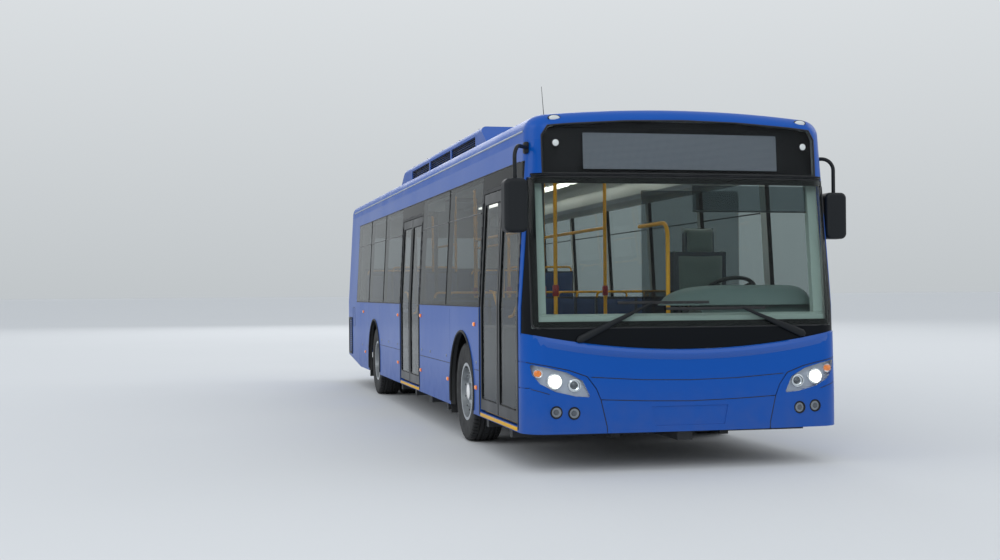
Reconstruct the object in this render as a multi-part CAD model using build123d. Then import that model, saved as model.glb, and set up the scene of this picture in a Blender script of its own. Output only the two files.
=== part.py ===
from build123d import *
import math
import os

# Low-floor city bus with two double doors, in millimetres. The bus faces -Y, +X is its left, driver's
# side, the doors are on -X, and the origin is on the ground at the middle of its length.
# "Back" in a name is a distance behind the foremost plane of the body.

# Overall body
LENGTH = 11600.0
WIDTH = 2550.0
SKIRT_Z = 290.0
BELT_Z = 1000.0
WAIST_Z = 1226.0
SHELL_TOP_Z = 2800.0
FRONT_LEAN = 128.0
FRONT_LEAN_AT_BELT = 14.0
REAR_LEAN = 50.0
TOP_HALF = 1192.0
FRONT_BOW_R = 12000.0
CORNER_R = 185.0
ROOF_CROWN_Z = 2745.0
ROOF_EDGE_Z = 2677.0
ROOF_ROUND = 130.0
ROUND_STEP = 0.5
ROUND_TRIES = 10
WALL = 45.0
GLASS = 6.0
RECESS = 6.0
FIT = 0.3

# Where the body's panels meet
CORNER_SEAM_BACK = 262.0
REAR_SEAM_BACK = LENGTH - 240.0
SEAM_W = 6.0
ROOF_SEAM_Z = 2500.0
REAR_BUMPER_TOP_Z = 560.0
SILL_BREAK_Z = 590.0
TAIL_CUT_BACK = 9950.0
TAIL_CUT_Z = 430.0

# Wheels and axles
FRONT_AXLE_BACK = 2460.0
WHEELBASE = 6000.0
TYRE_R = 447.5
TYRE_W = 283.0
RIM_R = 247.0
RIM_W = 240.0
RIM_T = 12.0
TWIN_PITCH = 315.0
TYRE_OUTER_X = 1245.0
ARCH_R = 550.0
NUT_COUNT = 10
NUT_R = 18.0
NUT_L = 34.0
NUT_RING_R = 167.5
HAND_RING_R = 212.0
HAND_HOLE_R = 19.0
HAND_HOLE_L = 90.0
HAND_HOLE_SHIFT = 50.0
KINGPIN_X = 930.0
KINGPIN_R = 18.0
SPINDLE_R = 35.0
KNUCKLE_GAP = 1.0
BOSS_HALF = 60.0
LUG_H = 38.0
BACKPLATE_X = 985.0
LOW_BEAM_TOP = 206.0
SPRING_X = 330.0
REAR_SPRING_X = 450.0
REAR_SEAT_Z = 420.0
SPRING_R = 95.0

# Floor levels and plates
FLOOR_Z = 333.0
FLOOR_T = 33.0
PLATE = 25.0
REAR_FLOOR_Z = 660.0
REAR_FLOOR_BACK = 6750.0
FLOOR_START_BACK = 245.0
STEP_DEPTH = 300.0
STEP_HALF = 400.0
BULKHEAD_BACK = 10200.0
ENGINE_DECK_Z = 1100.0
WHEEL_BOX_TOP_Z = 1035.0
WHEEL_BOX_IN_X = 600.0
WHEEL_BOX_HALF = 585.0
CAB_FLOOR_Z = 560.0
CAB_IN_X = 250.0
CAB_BACK = 1850.0

# Frame rails
RAIL_X = 450.0
RAIL_W = 70.0
LOW_RAIL_H = 90.0
REAR_RAIL_H = 100.0
RAIL_START_BACK = 450.0
RAIL_END_BACK = 11315.0
LOW_CROSS_BACKS = (700.0, 1560.0, 3400.0, 4300.0, 5300.0, 6300.0)
HIGH_CROSS_BACKS = (7300.0, 9650.0, 11275.0)
CROSS_HALF = 40.0
TOW_PIN_BACKS = (190.0, 11430.0)
TOW_PIN_R = 20.0
TOW_LUG_HALF = 60.0

# Doorways: distance behind the front of each jamb
DOORWAYS = {"front": (300.0, 1652.0), "middle": (4813.0, 6140.0)}
DOOR_CUT_Z = 2206.0
DOOR_LIP_Z = 2184.0

# Door leaves, and the linkage that glides them inward
LEAF_TOP_Z = 2178.0
LEAF_BOTTOM_Z = 356.0
LEAF_T = 34.0
LEAF_INSET = 3.0
LEAF_FRAME = 45.0
JAMB_GAP = 10.0
MEETING_GAP = 24.0
POST_BEHIND_JAMB = 20.0
POST_R = 20.0
PIVOT_DEPTH = 85.0
POST_DEPTH = 195.0
PIVOT_REACH = 248.0
ARM_T = 12.0
POST_HEAD = 30.0
LOW_ARM_Z = FLOOR_Z + 5.5
HIGH_ARM_Z = LEAF_TOP_Z + 8.0
LEAF_GLASS_INSETS = (LEAF_INSET + 8.0, LEAF_INSET + 14.0)
BRACKET_LAP = 6.0
ARM_W = 36.0
PIN_R = 9.0
HEADER_TOP_Z = 2420.0
HEADER_DEPTH = 290.0

# Side glass: distance behind the front of each pane's two edges
GLASS_BOTTOM_Z = 1234.0
GLASS_TOP_Z = 2340.0
PANE_LAP = 30.0
RIGHT_PANES = [(1710.0, 3225.0), (3240.0, 4755.0), (6200.0, 7590.0), (7605.0, 8995.0), (9010.0, 10400.0)]
LEFT_PANES = [(420.0, 1290.0), (1350.0, 2850.0), (2865.0, 4365.0), (4380.0, 5880.0), (5895.0, 7395.0),
              (7410.0, 8890.0), (8905.0, 10400.0)]

# Glass panels over the doorways: distance behind the front, height
DOOR_HEAD_BACKS = ((CORNER_SEAM_BACK + 20, 1695.0), (4770.0, 6185.0))
DOOR_HEAD_Z = (2214.0, GLASS_TOP_Z)

# Lines of the nose seen from ahead, as (X, Z) from the middle to the left: the bumper's upper seam, the
# seam between its middle and its corner, the flap's seam, and the lower edge of the black field
BUMPER_SEAM = [(0.0, 518.0), (350.0, 526.0), (701.0, 541.0), (735.0, 624.0), (803.0, 715.0), (942.0, 764.0),
               (1114.0, 800.0), (1320.0, 836.0)]
CORNER_SEAM = [(701.0, 541.0), (655.0, 340.0), (652.0, 280.0)]
FLAP_SEAM = [(0.0, 677.0), (380.0, 685.0), (775.0, 710.0)]
BLACK_EDGE = [(0.0, 908.0), (450.0, 921.0), (900.0, 960.0), (1110.0, 999.0), (1320.0, 1041.0)]
BLACK_TOP_Z = 2228.0
BLACK_BACK = 215.0
SIDE_CORNER_SEAM = ((100.0, 320.0), 632.0)
PLATE_RECESS = [(0.0, 483.0), (304.0, 483.0), (276.0, 337.0), (0.0, 337.0)]
LENS = [(1226.0, 808.0), (1097.0, 783.0), (959.0, 747.0), (840.0, 685.0), (780.0, 560.0), (893.0, 570.0),
        (1048.0, 607.0), (1157.0, 665.0), (1210.0, 732.0)]
LENS_ROUND = 12.0

# Seams of the side skirts: distance behind the front of both ends, height
SKIRT_SEAMS = [((1680.0, 1900.0), 680.0), ((2970.0, 4800.0), 680.0), ((6180.0, 7900.0), 680.0)]
SKIRT_JOINTS = [1690.0, 3020.0, 4780.0, 6190.0, 7910.0, 9030.0, 9930.0]

# Front glass, the display's edge from the middle to the left
SCREEN_HALF = 1207.0
SCREEN_Z = (1075.0, 2215.0)
DISPLAY_EDGE = [(0.0, 2240.0), (1105.0, 2240.0), (1105.0, 2530.0), (1060.0, 2602.0), (900.0, 2616.0),
                (450.0, 2643.0), (0.0, 2652.0)]

# Rear glass and engine door
REAR_GLASS_HALF = 950.0
REAR_GLASS_Z = (1450.0, 2250.0)
ENGINE_DOOR_HALF = 800.0
ENGINE_DOOR_Z = (600.0, 1330.0)
ENGINE_DOOR_GAP = 6.0
LID_HINGE_X = (-500.0, 500.0)
LID_BARREL_R = 8.0
LID_BARREL_L = 40.0

# Lamps: offset from the middle, height, radius
FRONT_LAMPS = [(1048.0, 680.0, 60.0), (897.0, 650.0, 50.0), (1165.0, 740.0, 34.0)]
FOG_LAMPS = [(1039.0, 453.0, 42.0), (905.0, 444.0, 42.0)]
REAR_LAMPS = [(1090.0, 700.0, 55.0), (1090.0, 840.0, 55.0), (1090.0, 980.0, 55.0), (1090.0, 1120.0, 55.0)]
REAR_LENS_T = 25.0
LAMP_FRONT = 12.0
LAMP_DEPTH = 36.0
BOWL_DEPTH = 14.0

# Roof unit
POD_HALF = 900.0
POD_BACKS = (3000.0, 3350.0, 8050.0, 8450.0)
POD_TOP_Z = 2985.0
POD_ROUND = 70.0
INTAKE_BACKS = [(3560.0, 4820.0), (4900.0, 6160.0), (6240.0, 7500.0)]
INTAKE_Z = (2795.0, 2905.0)
INTAKE_DEPTH = 40.0

# Outside mirrors
MIRROR_CORNER_R = 45.0
MIRROR_EDGE_R = 28.0
MIRROR_ARM_R = 15.0
MIRROR_BEND_R = 95.0

# Driver's place
DRIVER_X = 680.0
DASH_BACKS = (300.0, 760.0)
DASH_TOP_Z = 1250.0
HUMP = [(390.0, 1240.0), (430.0, 1330.0), (470.0, 1372.0), (600.0, 1372.0), (645.0, 1345.0), (690.0, 1240.0)]
HUMP_X = (330.0, 1120.0)
WHEEL_CENTRE = (900.0, 1325.0)
WHEEL_TILT = 35.0
STEERING_R = 225.0
STEERING_RIM_R = 16.0
STEERING_HUB = (-38.0, 8.0)
COLUMN_L = 320.0
DRIVER_SEAT_BACK = 1330.0

# Passenger seats: side (+1 left, -1 right), back of the row, floor level
SEAT_W = 425.0
SEAT_OUTER_X = 1190.0
SEAT_ROWS = [
    (-1, 3350.0, FLOOR_Z), (-1, 4150.0, FLOOR_Z),
    (1, 3350.0, FLOOR_Z), (1, 4100.0, FLOOR_Z), (1, 4850.0, FLOOR_Z), (1, 5600.0, FLOOR_Z),
    (-1, 7150.0, REAR_FLOOR_Z), (1, 7150.0, REAR_FLOOR_Z),
    (-1, 9600.0, REAR_FLOOR_Z), (1, 9600.0, REAR_FLOOR_Z),
]

# Grab poles: X, distance behind the front, floor level; rails: side, start, end
POLE_X = 315.0
RAIL_Z = 1980.0
POLES = [
    (-560.0, 1800.0, FLOOR_Z), (-POLE_X, 3150.0, FLOOR_Z), (POLE_X, 3150.0, FLOOR_Z),
    (-POLE_X, 4600.0, FLOOR_Z), (-POLE_X, 6380.0, FLOOR_Z), (POLE_X, 6100.0, FLOOR_Z),
    (-POLE_X, 7600.0, REAR_FLOOR_Z), (POLE_X, 7600.0, REAR_FLOOR_Z),
    (-POLE_X, 9300.0, REAR_FLOOR_Z), (POLE_X, 9300.0, REAR_FLOOR_Z),
]
RAILS = [(-1, 3150.0, 6380.0), (1, 3150.0, 6100.0), (-1, 7600.0, 9300.0), (1, 7600.0, 9300.0)]

FRONT_Y = -LENGTH / 2
HALF = WIDTH / 2
INNER_HALF = HALF - WALL
FRONT_AXLE_Y = FRONT_Y + FRONT_AXLE_BACK
REAR_AXLE_Y = FRONT_AXLE_Y + WHEELBASE
OUTER_TYRE_X = TYRE_OUTER_X - TYRE_W / 2
INNER_TYRE_X = OUTER_TYRE_X - TWIN_PITCH
FRONT_DISC_X = OUTER_TYRE_X + 62
REAR_DISC_X = (OUTER_TYRE_X + INNER_TYRE_X) / 2
FAR = 4000.0


def y_at(back):
    """Y of a place given as a distance behind the foremost plane."""
    return FRONT_Y + back


def block(x, y, z):
    """A box from its lowest and highest X, Y and Z."""
    size = [high - low for low, high in (x, y, z)]
    centre = [(low + high) / 2 for low, high in (x, y, z)]
    return Pos(*centre) * Box(*size)


def slab(back, z, x=(-FAR, FAR)):
    """A box from a range of distances behind the front, a range of heights and a range of X."""
    return block(x, (y_at(back[0]), y_at(back[1])), z)


def rod(start, end, radius):
    """A round bar between two points."""
    axis = Vector(*end) - Vector(*start)
    face = Plane(origin=start, z_dir=axis) * Circle(radius)
    return extrude(face, amount=axis.length)


def bent_rod(points, bends, radius):
    """A round bar along straight runs joined by arcs."""
    path = FilletPolyline(*points, radius=bends)
    start = Plane(origin=path @ 0, z_dir=path % 0)
    return sweep(start * Circle(radius), path=path)


def mirrored(shape):
    """The same shape on the other side of the bus."""
    return mirror(shape, about=Plane.YZ)


def both_sides(shape):
    """A shape and its mirror image as one set of solids."""
    return join(shape, mirrored(shape))


def join(*shapes):
    """Fuse what touches, and keep the rest as separate solids."""
    return Part() + list(shapes)


def save(name, shape):
    """Write one piece under its own name."""
    export_step(shape, f"parts/{name}.step")


def plan_outline(half, front, rear, corner_r, bow_r):
    """The body seen from above: bowed front, flat sides and rear, round corners."""
    flat = half - corner_r
    corner_y = front + bow_r - math.sqrt((bow_r - corner_r) ** 2 - flat ** 2)
    reach = bow_r / (bow_r - corner_r)
    bow_x = flat * reach
    bow_y = front + bow_r + (corner_y - front - bow_r) * reach
    middle = math.atan2(bow_y - corner_y, bow_x - flat) / 2
    round_x = flat + corner_r * math.cos(middle)
    round_y = corner_y + corner_r * math.sin(middle)
    tail_chord = corner_r * (1 - math.sqrt(0.5))
    edges = [
        ThreePointArc((-half, corner_y), (-round_x, round_y), (-bow_x, bow_y)),
        ThreePointArc((-bow_x, bow_y), (0, front), (bow_x, bow_y)),
        ThreePointArc((bow_x, bow_y), (round_x, round_y), (half, corner_y)),
        Line((half, corner_y), (half, rear - corner_r)),
        ThreePointArc((half, rear - corner_r), (half - tail_chord, rear - tail_chord), (flat, rear)),
        Line((flat, rear), (-flat, rear)),
        ThreePointArc((-flat, rear), (tail_chord - half, rear - tail_chord), (-half, rear - corner_r)),
        Line((-half, rear - corner_r), (-half, corner_y)),
    ]
    return make_face(Curve() + edges)


def lean_at(z):
    """How far the front has leaned back at a height above the belt line."""
    share = (z - BELT_Z) / (SHELL_TOP_Z - BELT_Z)
    return FRONT_LEAN_AT_BELT + (FRONT_LEAN - FRONT_LEAN_AT_BELT) * share


def tail_at(z):
    """How far the tail has leaned forward at a height above the waist line."""
    return REAR_LEAN * (z - WAIST_Z) / (SHELL_TOP_Z - WAIST_Z)


def side_half(z):
    """Half the body's width at a height."""
    share = max(0.0, (z - WAIST_Z) / (SHELL_TOP_Z - WAIST_Z))
    return HALF - (HALF - TOP_HALF) * share


def body_hull(inset):
    """The whole body as a solid, moved in by an inset, with its roof crowned and rounded."""
    levels = [
        (SKIRT_Z - abs(inset), HALF, 0.0, 0.0),
        (SILL_BREAK_Z, HALF, 0.0, 0.0),
        (BELT_Z, HALF, FRONT_LEAN_AT_BELT, 0.0),
        (WAIST_Z, HALF, lean_at(WAIST_Z), 0.0),
        (SHELL_TOP_Z, TOP_HALF, FRONT_LEAN, REAR_LEAN),
    ]
    sections = [
        Pos(0, 0, z) * plan_outline(half - inset, FRONT_Y + lean + inset, -FRONT_Y - tail - inset,
                                    CORNER_R - inset, FRONT_BOW_R - inset)
        for z, half, lean, tail in levels
    ]
    walls = loft(sections, ruled=True)
    edge_z = ROOF_EDGE_Z - inset
    crown = ThreePointArc((-HALF, edge_z), (0, ROOF_CROWN_Z - inset), (HALF, edge_z))
    under = Polyline((HALF, edge_z), (HALF, 0), (-HALF, 0), (-HALF, edge_z))
    cover = extrude(Plane.XZ * make_face(Curve() + [crown, under]), amount=LENGTH, both=True)
    return round_roof(walls & cover, ROOF_ROUND - inset)


def round_roof(hull, radius):
    """Round the roof's edge, a shade tighter where the exact radius can't be made."""
    edges = hull.faces().sort_by(Axis.Z)[-1].edges()
    for step in range(ROUND_TRIES):
        try:
            return fillet(edges, radius - step * ROUND_STEP)
        except ValueError:
            continue
    raise ValueError("the roof's edge can't be rounded")


INSETS = (-FIT, 0.0, RECESS - FIT, GLASS, RECESS + GLASS, REAR_LENS_T, LAMP_DEPTH - FIT, LAMP_DEPTH, WALL, WALL + FIT)
HULLS = {inset: body_hull(inset) for inset in INSETS}
LEAF_HULLS = [body_hull(inset) for inset in (LEAF_INSET, LEAF_INSET + LEAF_T, *LEAF_GLASS_INSETS)]
OUTER = HULLS[0.0]
INNER = HULLS[WALL]


def skin(region, depth):
    """The part of the body's skin inside a region, as thick as depth."""
    return (OUTER & region) - HULLS[depth]


def arch_cutters():
    """The round cut of each wheel arch."""
    return [
        rod((-FAR, y, TYRE_R), (FAR, y, TYRE_R), ARCH_R)
        for y in (FRONT_AXLE_Y, REAR_AXLE_Y)
    ]


def tail_cutter():
    """The slanted cut under the body's tail."""
    points = [(y_at(TAIL_CUT_BACK), SKIRT_Z), (y_at(LENGTH), TAIL_CUT_Z), (y_at(LENGTH) + WALL, TAIL_CUT_Z),
              (y_at(LENGTH) + WALL, 0), (y_at(TAIL_CUT_BACK), 0)]
    return extrude(Plane.YZ * make_face(Polyline(*points, close=True)), amount=FAR, both=True)


def pane_region(back, side):
    """The box that cuts one side pane out of the skin."""
    x = (0, FAR) if side > 0 else (-FAR, 0)
    return slab(back, (GLASS_BOTTOM_Z, GLASS_TOP_Z), x)


def window_cutter(back, side):
    """The see-through opening behind one side pane."""
    x = (0, FAR) if side > 0 else (-FAR, 0)
    opening = (back[0] + PANE_LAP, back[1] - PANE_LAP)
    return slab(opening, (GLASS_BOTTOM_Z + PANE_LAP, GLASS_TOP_Z - PANE_LAP), x)


def side_wall(side, panes):
    """One side of the body with its window openings, rebates, arches and tail cut."""
    x = (0, FAR) if side > 0 else (-FAR, 0)
    region = slab((CORNER_SEAM_BACK, REAR_SEAM_BACK), (SKIRT_Z, ROOF_SEAM_Z), x)
    wall = skin(region, WALL)
    for back in panes:
        wall = wall - skin(pane_region(back, side), GLASS) - window_cutter(back, side)
    wall = wall - arch_cutters() - tail_cutter()
    return wall - (skirt_seams(x) - HULLS[GLASS])


def skirt_seams(x):
    """Thin slabs along the seams of the skirt's flaps, on the side that a range of X gives."""
    half = SEAM_W / 2
    lines = [slab(backs, (z - half, z + half), x) for backs, z in SKIRT_SEAMS]
    joints = [slab((back - half, back + half), (0, WAIST_Z - PANE_LAP), x) for back in SKIRT_JOINTS]
    return join(*lines, *joints)


def door_side(wall):
    """Cut the doorways out of the right side, with a thin lip over each."""
    for back in DOORWAYS.values():
        doorway = slab(back, (FLOOR_Z, DOOR_LIP_Z), (-FAR, 0))
        arm_room = HULLS[RECESS + GLASS] & slab(back, (DOOR_LIP_Z - 1, DOOR_CUT_Z), (-FAR, 0))
        wall = wall - doorway - arm_room
    for back in DOOR_HEAD_BACKS:
        wall = wall - skin(door_head_region(back), GLASS)
    return wall


def door_head_region(back):
    """The box of the glass panel over a doorway."""
    return slab(back, DOOR_HEAD_Z, (-FAR, 0))


def side_glass():
    """All the panes of both sides."""
    panes = [skin(pane_region(back, -1), GLASS) for back in RIGHT_PANES]
    panes += [skin(pane_region(back, 1), GLASS) for back in LEFT_PANES]
    panes += [skin(door_head_region(back), GLASS) for back in DOOR_HEAD_BACKS]
    return Compound(panes)


def front_region(z, half=FAR):
    """A box over the nose of the body."""
    return slab((-WALL, CORNER_SEAM_BACK), z, (-half, half))


def rear_region(z, half=FAR):
    """A box over the tail of the body."""
    return slab((REAR_SEAM_BACK, LENGTH + WALL), z, (-half, half))


def nose_shape(outline, back=CORNER_SEAM_BACK):
    """An outline of (X, Z) points seen from ahead, drawn through the nose to a depth."""
    face = Plane(origin=(0, y_at(back), 0), x_dir=(1, 0, 0), z_dir=(0, -1, 0)) * make_face(
        Polyline(*outline, close=True))
    return extrude(face, amount=back + WALL)


def nose_prism(points, back=CORNER_SEAM_BACK):
    """The same for an outline given by its left half's points."""
    return nose_shape(points + [(-x, z) for x, z in reversed(points) if x > 0], back)


def nose_seam(points):
    """A narrow band along a seam of the nose, on both sides."""
    half = SEAM_W / 2
    upper = [(max(0.0, x - half), z + half) for x, z in points]
    lower = [(x + half if x else 0.0, z - half) for x, z in points]
    band = upper + lower[::-1]
    if points[0][0] == 0:
        return nose_prism(band)
    return both_sides(nose_shape(band))


def with_seams(panel):
    """A panel of the nose with the shallow grooves along its seams."""
    backs, z = SIDE_CORNER_SEAM
    corner = slab(backs, (z - SEAM_W / 2, z + SEAM_W / 2))
    for band in (nose_seam(BUMPER_SEAM), nose_seam(CORNER_SEAM), nose_seam(FLAP_SEAM), corner):
        panel = panel - (band - HULLS[GLASS])
    return panel


def bumper_region():
    """The nose below the bumper's upper seam, with the corners that carry the lamps."""
    return nose_prism([(0.0, 0.0)] + [(BUMPER_SEAM[-1][0], 0.0)] + BUMPER_SEAM[::-1])


def black_field():
    """The recessed black field round the windscreen."""
    top = [(BLACK_EDGE[-1][0], BLACK_TOP_Z), (0.0, BLACK_TOP_Z)]
    return nose_prism(BLACK_EDGE + top, BLACK_BACK)


def screen_region():
    """The windscreen seen from ahead."""
    return front_region(SCREEN_Z, SCREEN_HALF)


def display_region():
    """The glass over the destination display seen from ahead."""
    return nose_prism(DISPLAY_EDGE)


def lens_region(gap):
    """The headlamp lens seen from ahead, grown by a gap, on both sides."""
    outline = make_face(Polyline(*LENS, close=True))
    outline = fillet(outline.vertices(), LENS_ROUND)
    if gap:
        outline = offset(outline, gap)
    face = Plane(origin=(0, y_at(CORNER_SEAM_BACK), 0), x_dir=(1, 0, 0), z_dir=(0, -1, 0)) * outline
    return both_sides(extrude(face, amount=CORNER_SEAM_BACK + WALL))


def lamp_plug(x, z, radius, y):
    """A round plug along Y for a lamp, on both sides of the bus."""
    plug = rod((x, y - CORNER_SEAM_BACK, z), (x, y + CORNER_SEAM_BACK, z), radius)
    return both_sides(plug)


def lamp_plugs(lamps, y, gap=0.0):
    """The plugs of a table of lamps, grown by a gap."""
    return join(*[lamp_plug(x, z, radius + gap, y) for x, z, radius in lamps])


def lamp_unit(x, z, radius):
    """A round lamp behind the lens with a hollow bowl, on both sides."""
    body = (HULLS[RECESS + GLASS] & lamp_plug(x, z, radius, FRONT_Y)) - HULLS[LAMP_DEPTH - FIT]
    face_y = body.bounding_box().min.Y
    ball_r = (radius ** 2 + BOWL_DEPTH ** 2) / (2 * BOWL_DEPTH)
    bowl = Pos(x, face_y + LAMP_FRONT + BOWL_DEPTH - ball_r, z) * Sphere(ball_r)
    return body - both_sides(bowl)


def front_lamps():
    """The headlamp lenses, the round lamps behind them, and the fog lamps."""
    lenses = skin(lens_region(0.0), GLASS)
    units = [lamp_unit(*lamp) for lamp in FRONT_LAMPS]
    fogs = skin(lamp_plugs(FOG_LAMPS, FRONT_Y), REAR_LENS_T)
    return join(lenses, *units, fogs)


def front_panel():
    """The nose above the bumper, round the two glasses."""
    panel = skin(front_region((SKIRT_Z, ROOF_SEAM_Z)), WALL) - bumper_region()
    return with_seams(panel - screen_region() - display_region() - skin(black_field(), RECESS))


def front_bumper():
    """The bumper across the nose, with the corners that carry the lamps."""
    bumper = skin(front_region((SKIRT_Z, ROOF_SEAM_Z)), WALL) & bumper_region()
    bumper = bumper - skin(lens_region(FIT), LAMP_DEPTH) - skin(nose_prism(PLATE_RECESS), RECESS)
    return with_seams(bumper - lamp_plugs(FOG_LAMPS, FRONT_Y, FIT))


def front_glass():
    """The windscreen, set as deep as the black field, and the glass of the display above it."""
    return Compound([
        (HULLS[RECESS] & screen_region()) - HULLS[RECESS + GLASS],
        skin(display_region(), GLASS),
    ])


def engine_door_region(gap):
    """The box of the engine door, or of its opening with a gap all round."""
    z = (ENGINE_DOOR_Z[0] - gap, ENGINE_DOOR_Z[1] + gap)
    return rear_region(z, ENGINE_DOOR_HALF + gap)


def lid_barrels(shift, length, radius):
    """One hinge barrel at each hinge of the engine door, moved along its axis."""
    z = ENGINE_DOOR_Z[1] + ENGINE_DOOR_GAP / 2
    y = -FRONT_Y - tail_at(z)
    return join(*[
        rod((x + shift - length / 2, y, z), (x + shift + length / 2, y, z), radius)
        for x in LID_HINGE_X
    ])


def outer_barrels(radius):
    """The two fixed barrels at the ends of each hinge of the engine door."""
    shift = LID_BARREL_L + FIT
    return join(lid_barrels(-shift, LID_BARREL_L, radius), lid_barrels(shift, LID_BARREL_L, radius))


def rear_panel():
    """The tail above the bumper, round its window and its engine door."""
    panel = skin(rear_region((REAR_BUMPER_TOP_Z, ROOF_SEAM_Z)), WALL)
    panel = panel - skin(rear_region(REAR_GLASS_Z, REAR_GLASS_HALF), GLASS)
    opening_z = (REAR_GLASS_Z[0] + PANE_LAP, REAR_GLASS_Z[1] - PANE_LAP)
    panel = panel - rear_region(opening_z, REAR_GLASS_HALF - PANE_LAP)
    panel = panel - engine_door_region(ENGINE_DOOR_GAP) - lamp_plugs(REAR_LAMPS, -FRONT_Y, FIT)
    return panel - lid_barrels(0, LID_BARREL_L + FIT, LID_BARREL_R + FIT) + outer_barrels(LID_BARREL_R)


def rear_bumper():
    """The bumper across the tail, with the slanted cut under it."""
    return skin(rear_region((SKIRT_Z, REAR_BUMPER_TOP_Z)), WALL) - tail_cutter()


def roof_shell():
    """The crowned roof."""
    return skin(block((-FAR, FAR), (-FAR * 2, FAR * 2), (ROOF_SEAM_Z, SHELL_TOP_Z)), WALL) - display_region()


def roof_pod():
    """The air-conditioning unit on the roof."""
    low = ROOF_EDGE_Z
    start, crest, fall, end = [y_at(back) for back in POD_BACKS]
    points = [(start, low), (start, ROOF_CROWN_Z + PLATE), (crest, POD_TOP_Z), (fall, POD_TOP_Z),
              (end, ROOF_CROWN_Z + PLATE), (end, low)]
    pod = extrude(Plane.YZ * make_face(Polyline(*points, close=True)), amount=POD_HALF, both=True)
    rounded = pod.edges().filter_by(Axis.Y).sort_by(Axis.Z)[-2:]
    pod = fillet(rounded, POD_ROUND)
    for backs in INTAKE_BACKS:
        pod = pod - both_sides(slab(backs, INTAKE_Z, (POD_HALF - INTAKE_DEPTH, POD_HALF)))
    return pod - HULLS[-FIT]


def wheel_box(y, low_z):
    """A box over one wheel, open below and towards the arch."""
    in_x = WHEEL_BOX_IN_X
    outside = block((in_x, INNER_HALF), (y - WHEEL_BOX_HALF, y + WHEEL_BOX_HALF), (low_z, WHEEL_BOX_TOP_Z))
    inside = block((in_x + PLATE, INNER_HALF), (y - WHEEL_BOX_HALF + PLATE, y + WHEEL_BOX_HALF - PLATE),
                   (0, WHEEL_BOX_TOP_Z - PLATE))
    return outside, inside


def wheel_box_pairs():
    """Outside and inside of the boxes over the front and rear wheels, on the left side."""
    return [wheel_box(FRONT_AXLE_Y, FLOOR_Z - FLOOR_T), wheel_box(REAR_AXLE_Y, REAR_FLOOR_Z - PLATE)]


def floor():
    """The floor: low part, step, high part, and the deck over the engine."""
    across = (-INNER_HALF, INNER_HALF)
    low = slab((FLOOR_START_BACK, REAR_FLOOR_BACK), (FLOOR_Z - FLOOR_T, FLOOR_Z), across)
    riser = slab((REAR_FLOOR_BACK - PLATE, REAR_FLOOR_BACK), (FLOOR_Z - FLOOR_T, REAR_FLOOR_Z), across)
    step = slab((REAR_FLOOR_BACK - STEP_DEPTH, REAR_FLOOR_BACK), (FLOOR_Z, (FLOOR_Z + REAR_FLOOR_Z) / 2),
                (-STEP_HALF, STEP_HALF))
    high = slab((REAR_FLOOR_BACK - PLATE, BULKHEAD_BACK), (REAR_FLOOR_Z - PLATE, REAR_FLOOR_Z), across)
    bulkhead = slab((BULKHEAD_BACK - PLATE, BULKHEAD_BACK), (REAR_FLOOR_Z - PLATE, ENGINE_DECK_Z), across)
    deck = slab((BULKHEAD_BACK - PLATE, REAR_SEAM_BACK), (ENGINE_DECK_Z - PLATE, ENGINE_DECK_Z), across)
    plates = join(low, riser, step, high, bulkhead, deck) & HULLS[WALL]
    for outside, _ in wheel_box_pairs():
        plates = plates - outside - mirrored(outside)
    return plates


def floor_boxes():
    """The boxes over the four wheels and the hollow platform under the driver."""
    boxes = [both_sides(outside - inside) for outside, inside in wheel_box_pairs()]
    cab = slab((FLOOR_START_BACK, CAB_BACK), (FLOOR_Z, CAB_FLOOR_Z), (CAB_IN_X, INNER_HALF))
    room = slab((FLOOR_START_BACK + PLATE, CAB_BACK - PLATE), (FLOOR_Z, CAB_FLOOR_Z - PLATE),
                (CAB_IN_X + PLATE, INNER_HALF - PLATE))
    return join(*boxes, (cab - room) & HULLS[WALL])


def rail_levels():
    """Heights of the low and the rear rails."""
    low_top = FLOOR_Z - FLOOR_T
    high_top = REAR_FLOOR_Z - PLATE
    return (low_top - LOW_RAIL_H, low_top), (high_top - REAR_RAIL_H, high_top)


def chassis_frame():
    """Two rails that step up over the rear axle, and the tow bars at both ends."""
    low_z, high_z = rail_levels()
    x = (RAIL_X - RAIL_W / 2, RAIL_X + RAIL_W / 2)
    low = slab((RAIL_START_BACK, REAR_FLOOR_BACK), low_z, x)
    up = slab((REAR_FLOOR_BACK, REAR_FLOOR_BACK + LOW_RAIL_H), (low_z[0], high_z[1]), x)
    high = slab((REAR_FLOOR_BACK + LOW_RAIL_H, RAIL_END_BACK), high_z, x)
    tow_x = (-TOW_LUG_HALF, TOW_LUG_HALF)
    front_bar = slab((TOW_PIN_BACKS[0] - TOW_LUG_HALF, LOW_CROSS_BACKS[0] - CROSS_HALF), low_z, tow_x)
    rear_bar = slab((HIGH_CROSS_BACKS[-1] + CROSS_HALF, TOW_PIN_BACKS[1] + TOW_LUG_HALF), high_z, tow_x)
    frame = join(both_sides(join(low, up, high)), front_bar, rear_bar)
    for back in TOW_PIN_BACKS:
        frame = frame - rod((0, y_at(back), 0), (0, y_at(back), REAR_FLOOR_Z), TOW_PIN_R)
    return frame


def cross_members():
    """The bars between the rails, and the low ones' outriggers to the side walls."""
    low_z, high_z = rail_levels()
    inner = RAIL_X - RAIL_W / 2
    outer = RAIL_X + RAIL_W / 2
    bars = []
    for back in LOW_CROSS_BACKS:
        for x in ((-inner, inner), (outer, INNER_HALF), (-INNER_HALF, -outer)):
            bars.append(slab((back - CROSS_HALF, back + CROSS_HALF), low_z, x))
    for back in HIGH_CROSS_BACKS:
        bars.append(slab((back - CROSS_HALF, back + CROSS_HALF), high_z, (-inner, inner)))
    return join(*bars)


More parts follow.
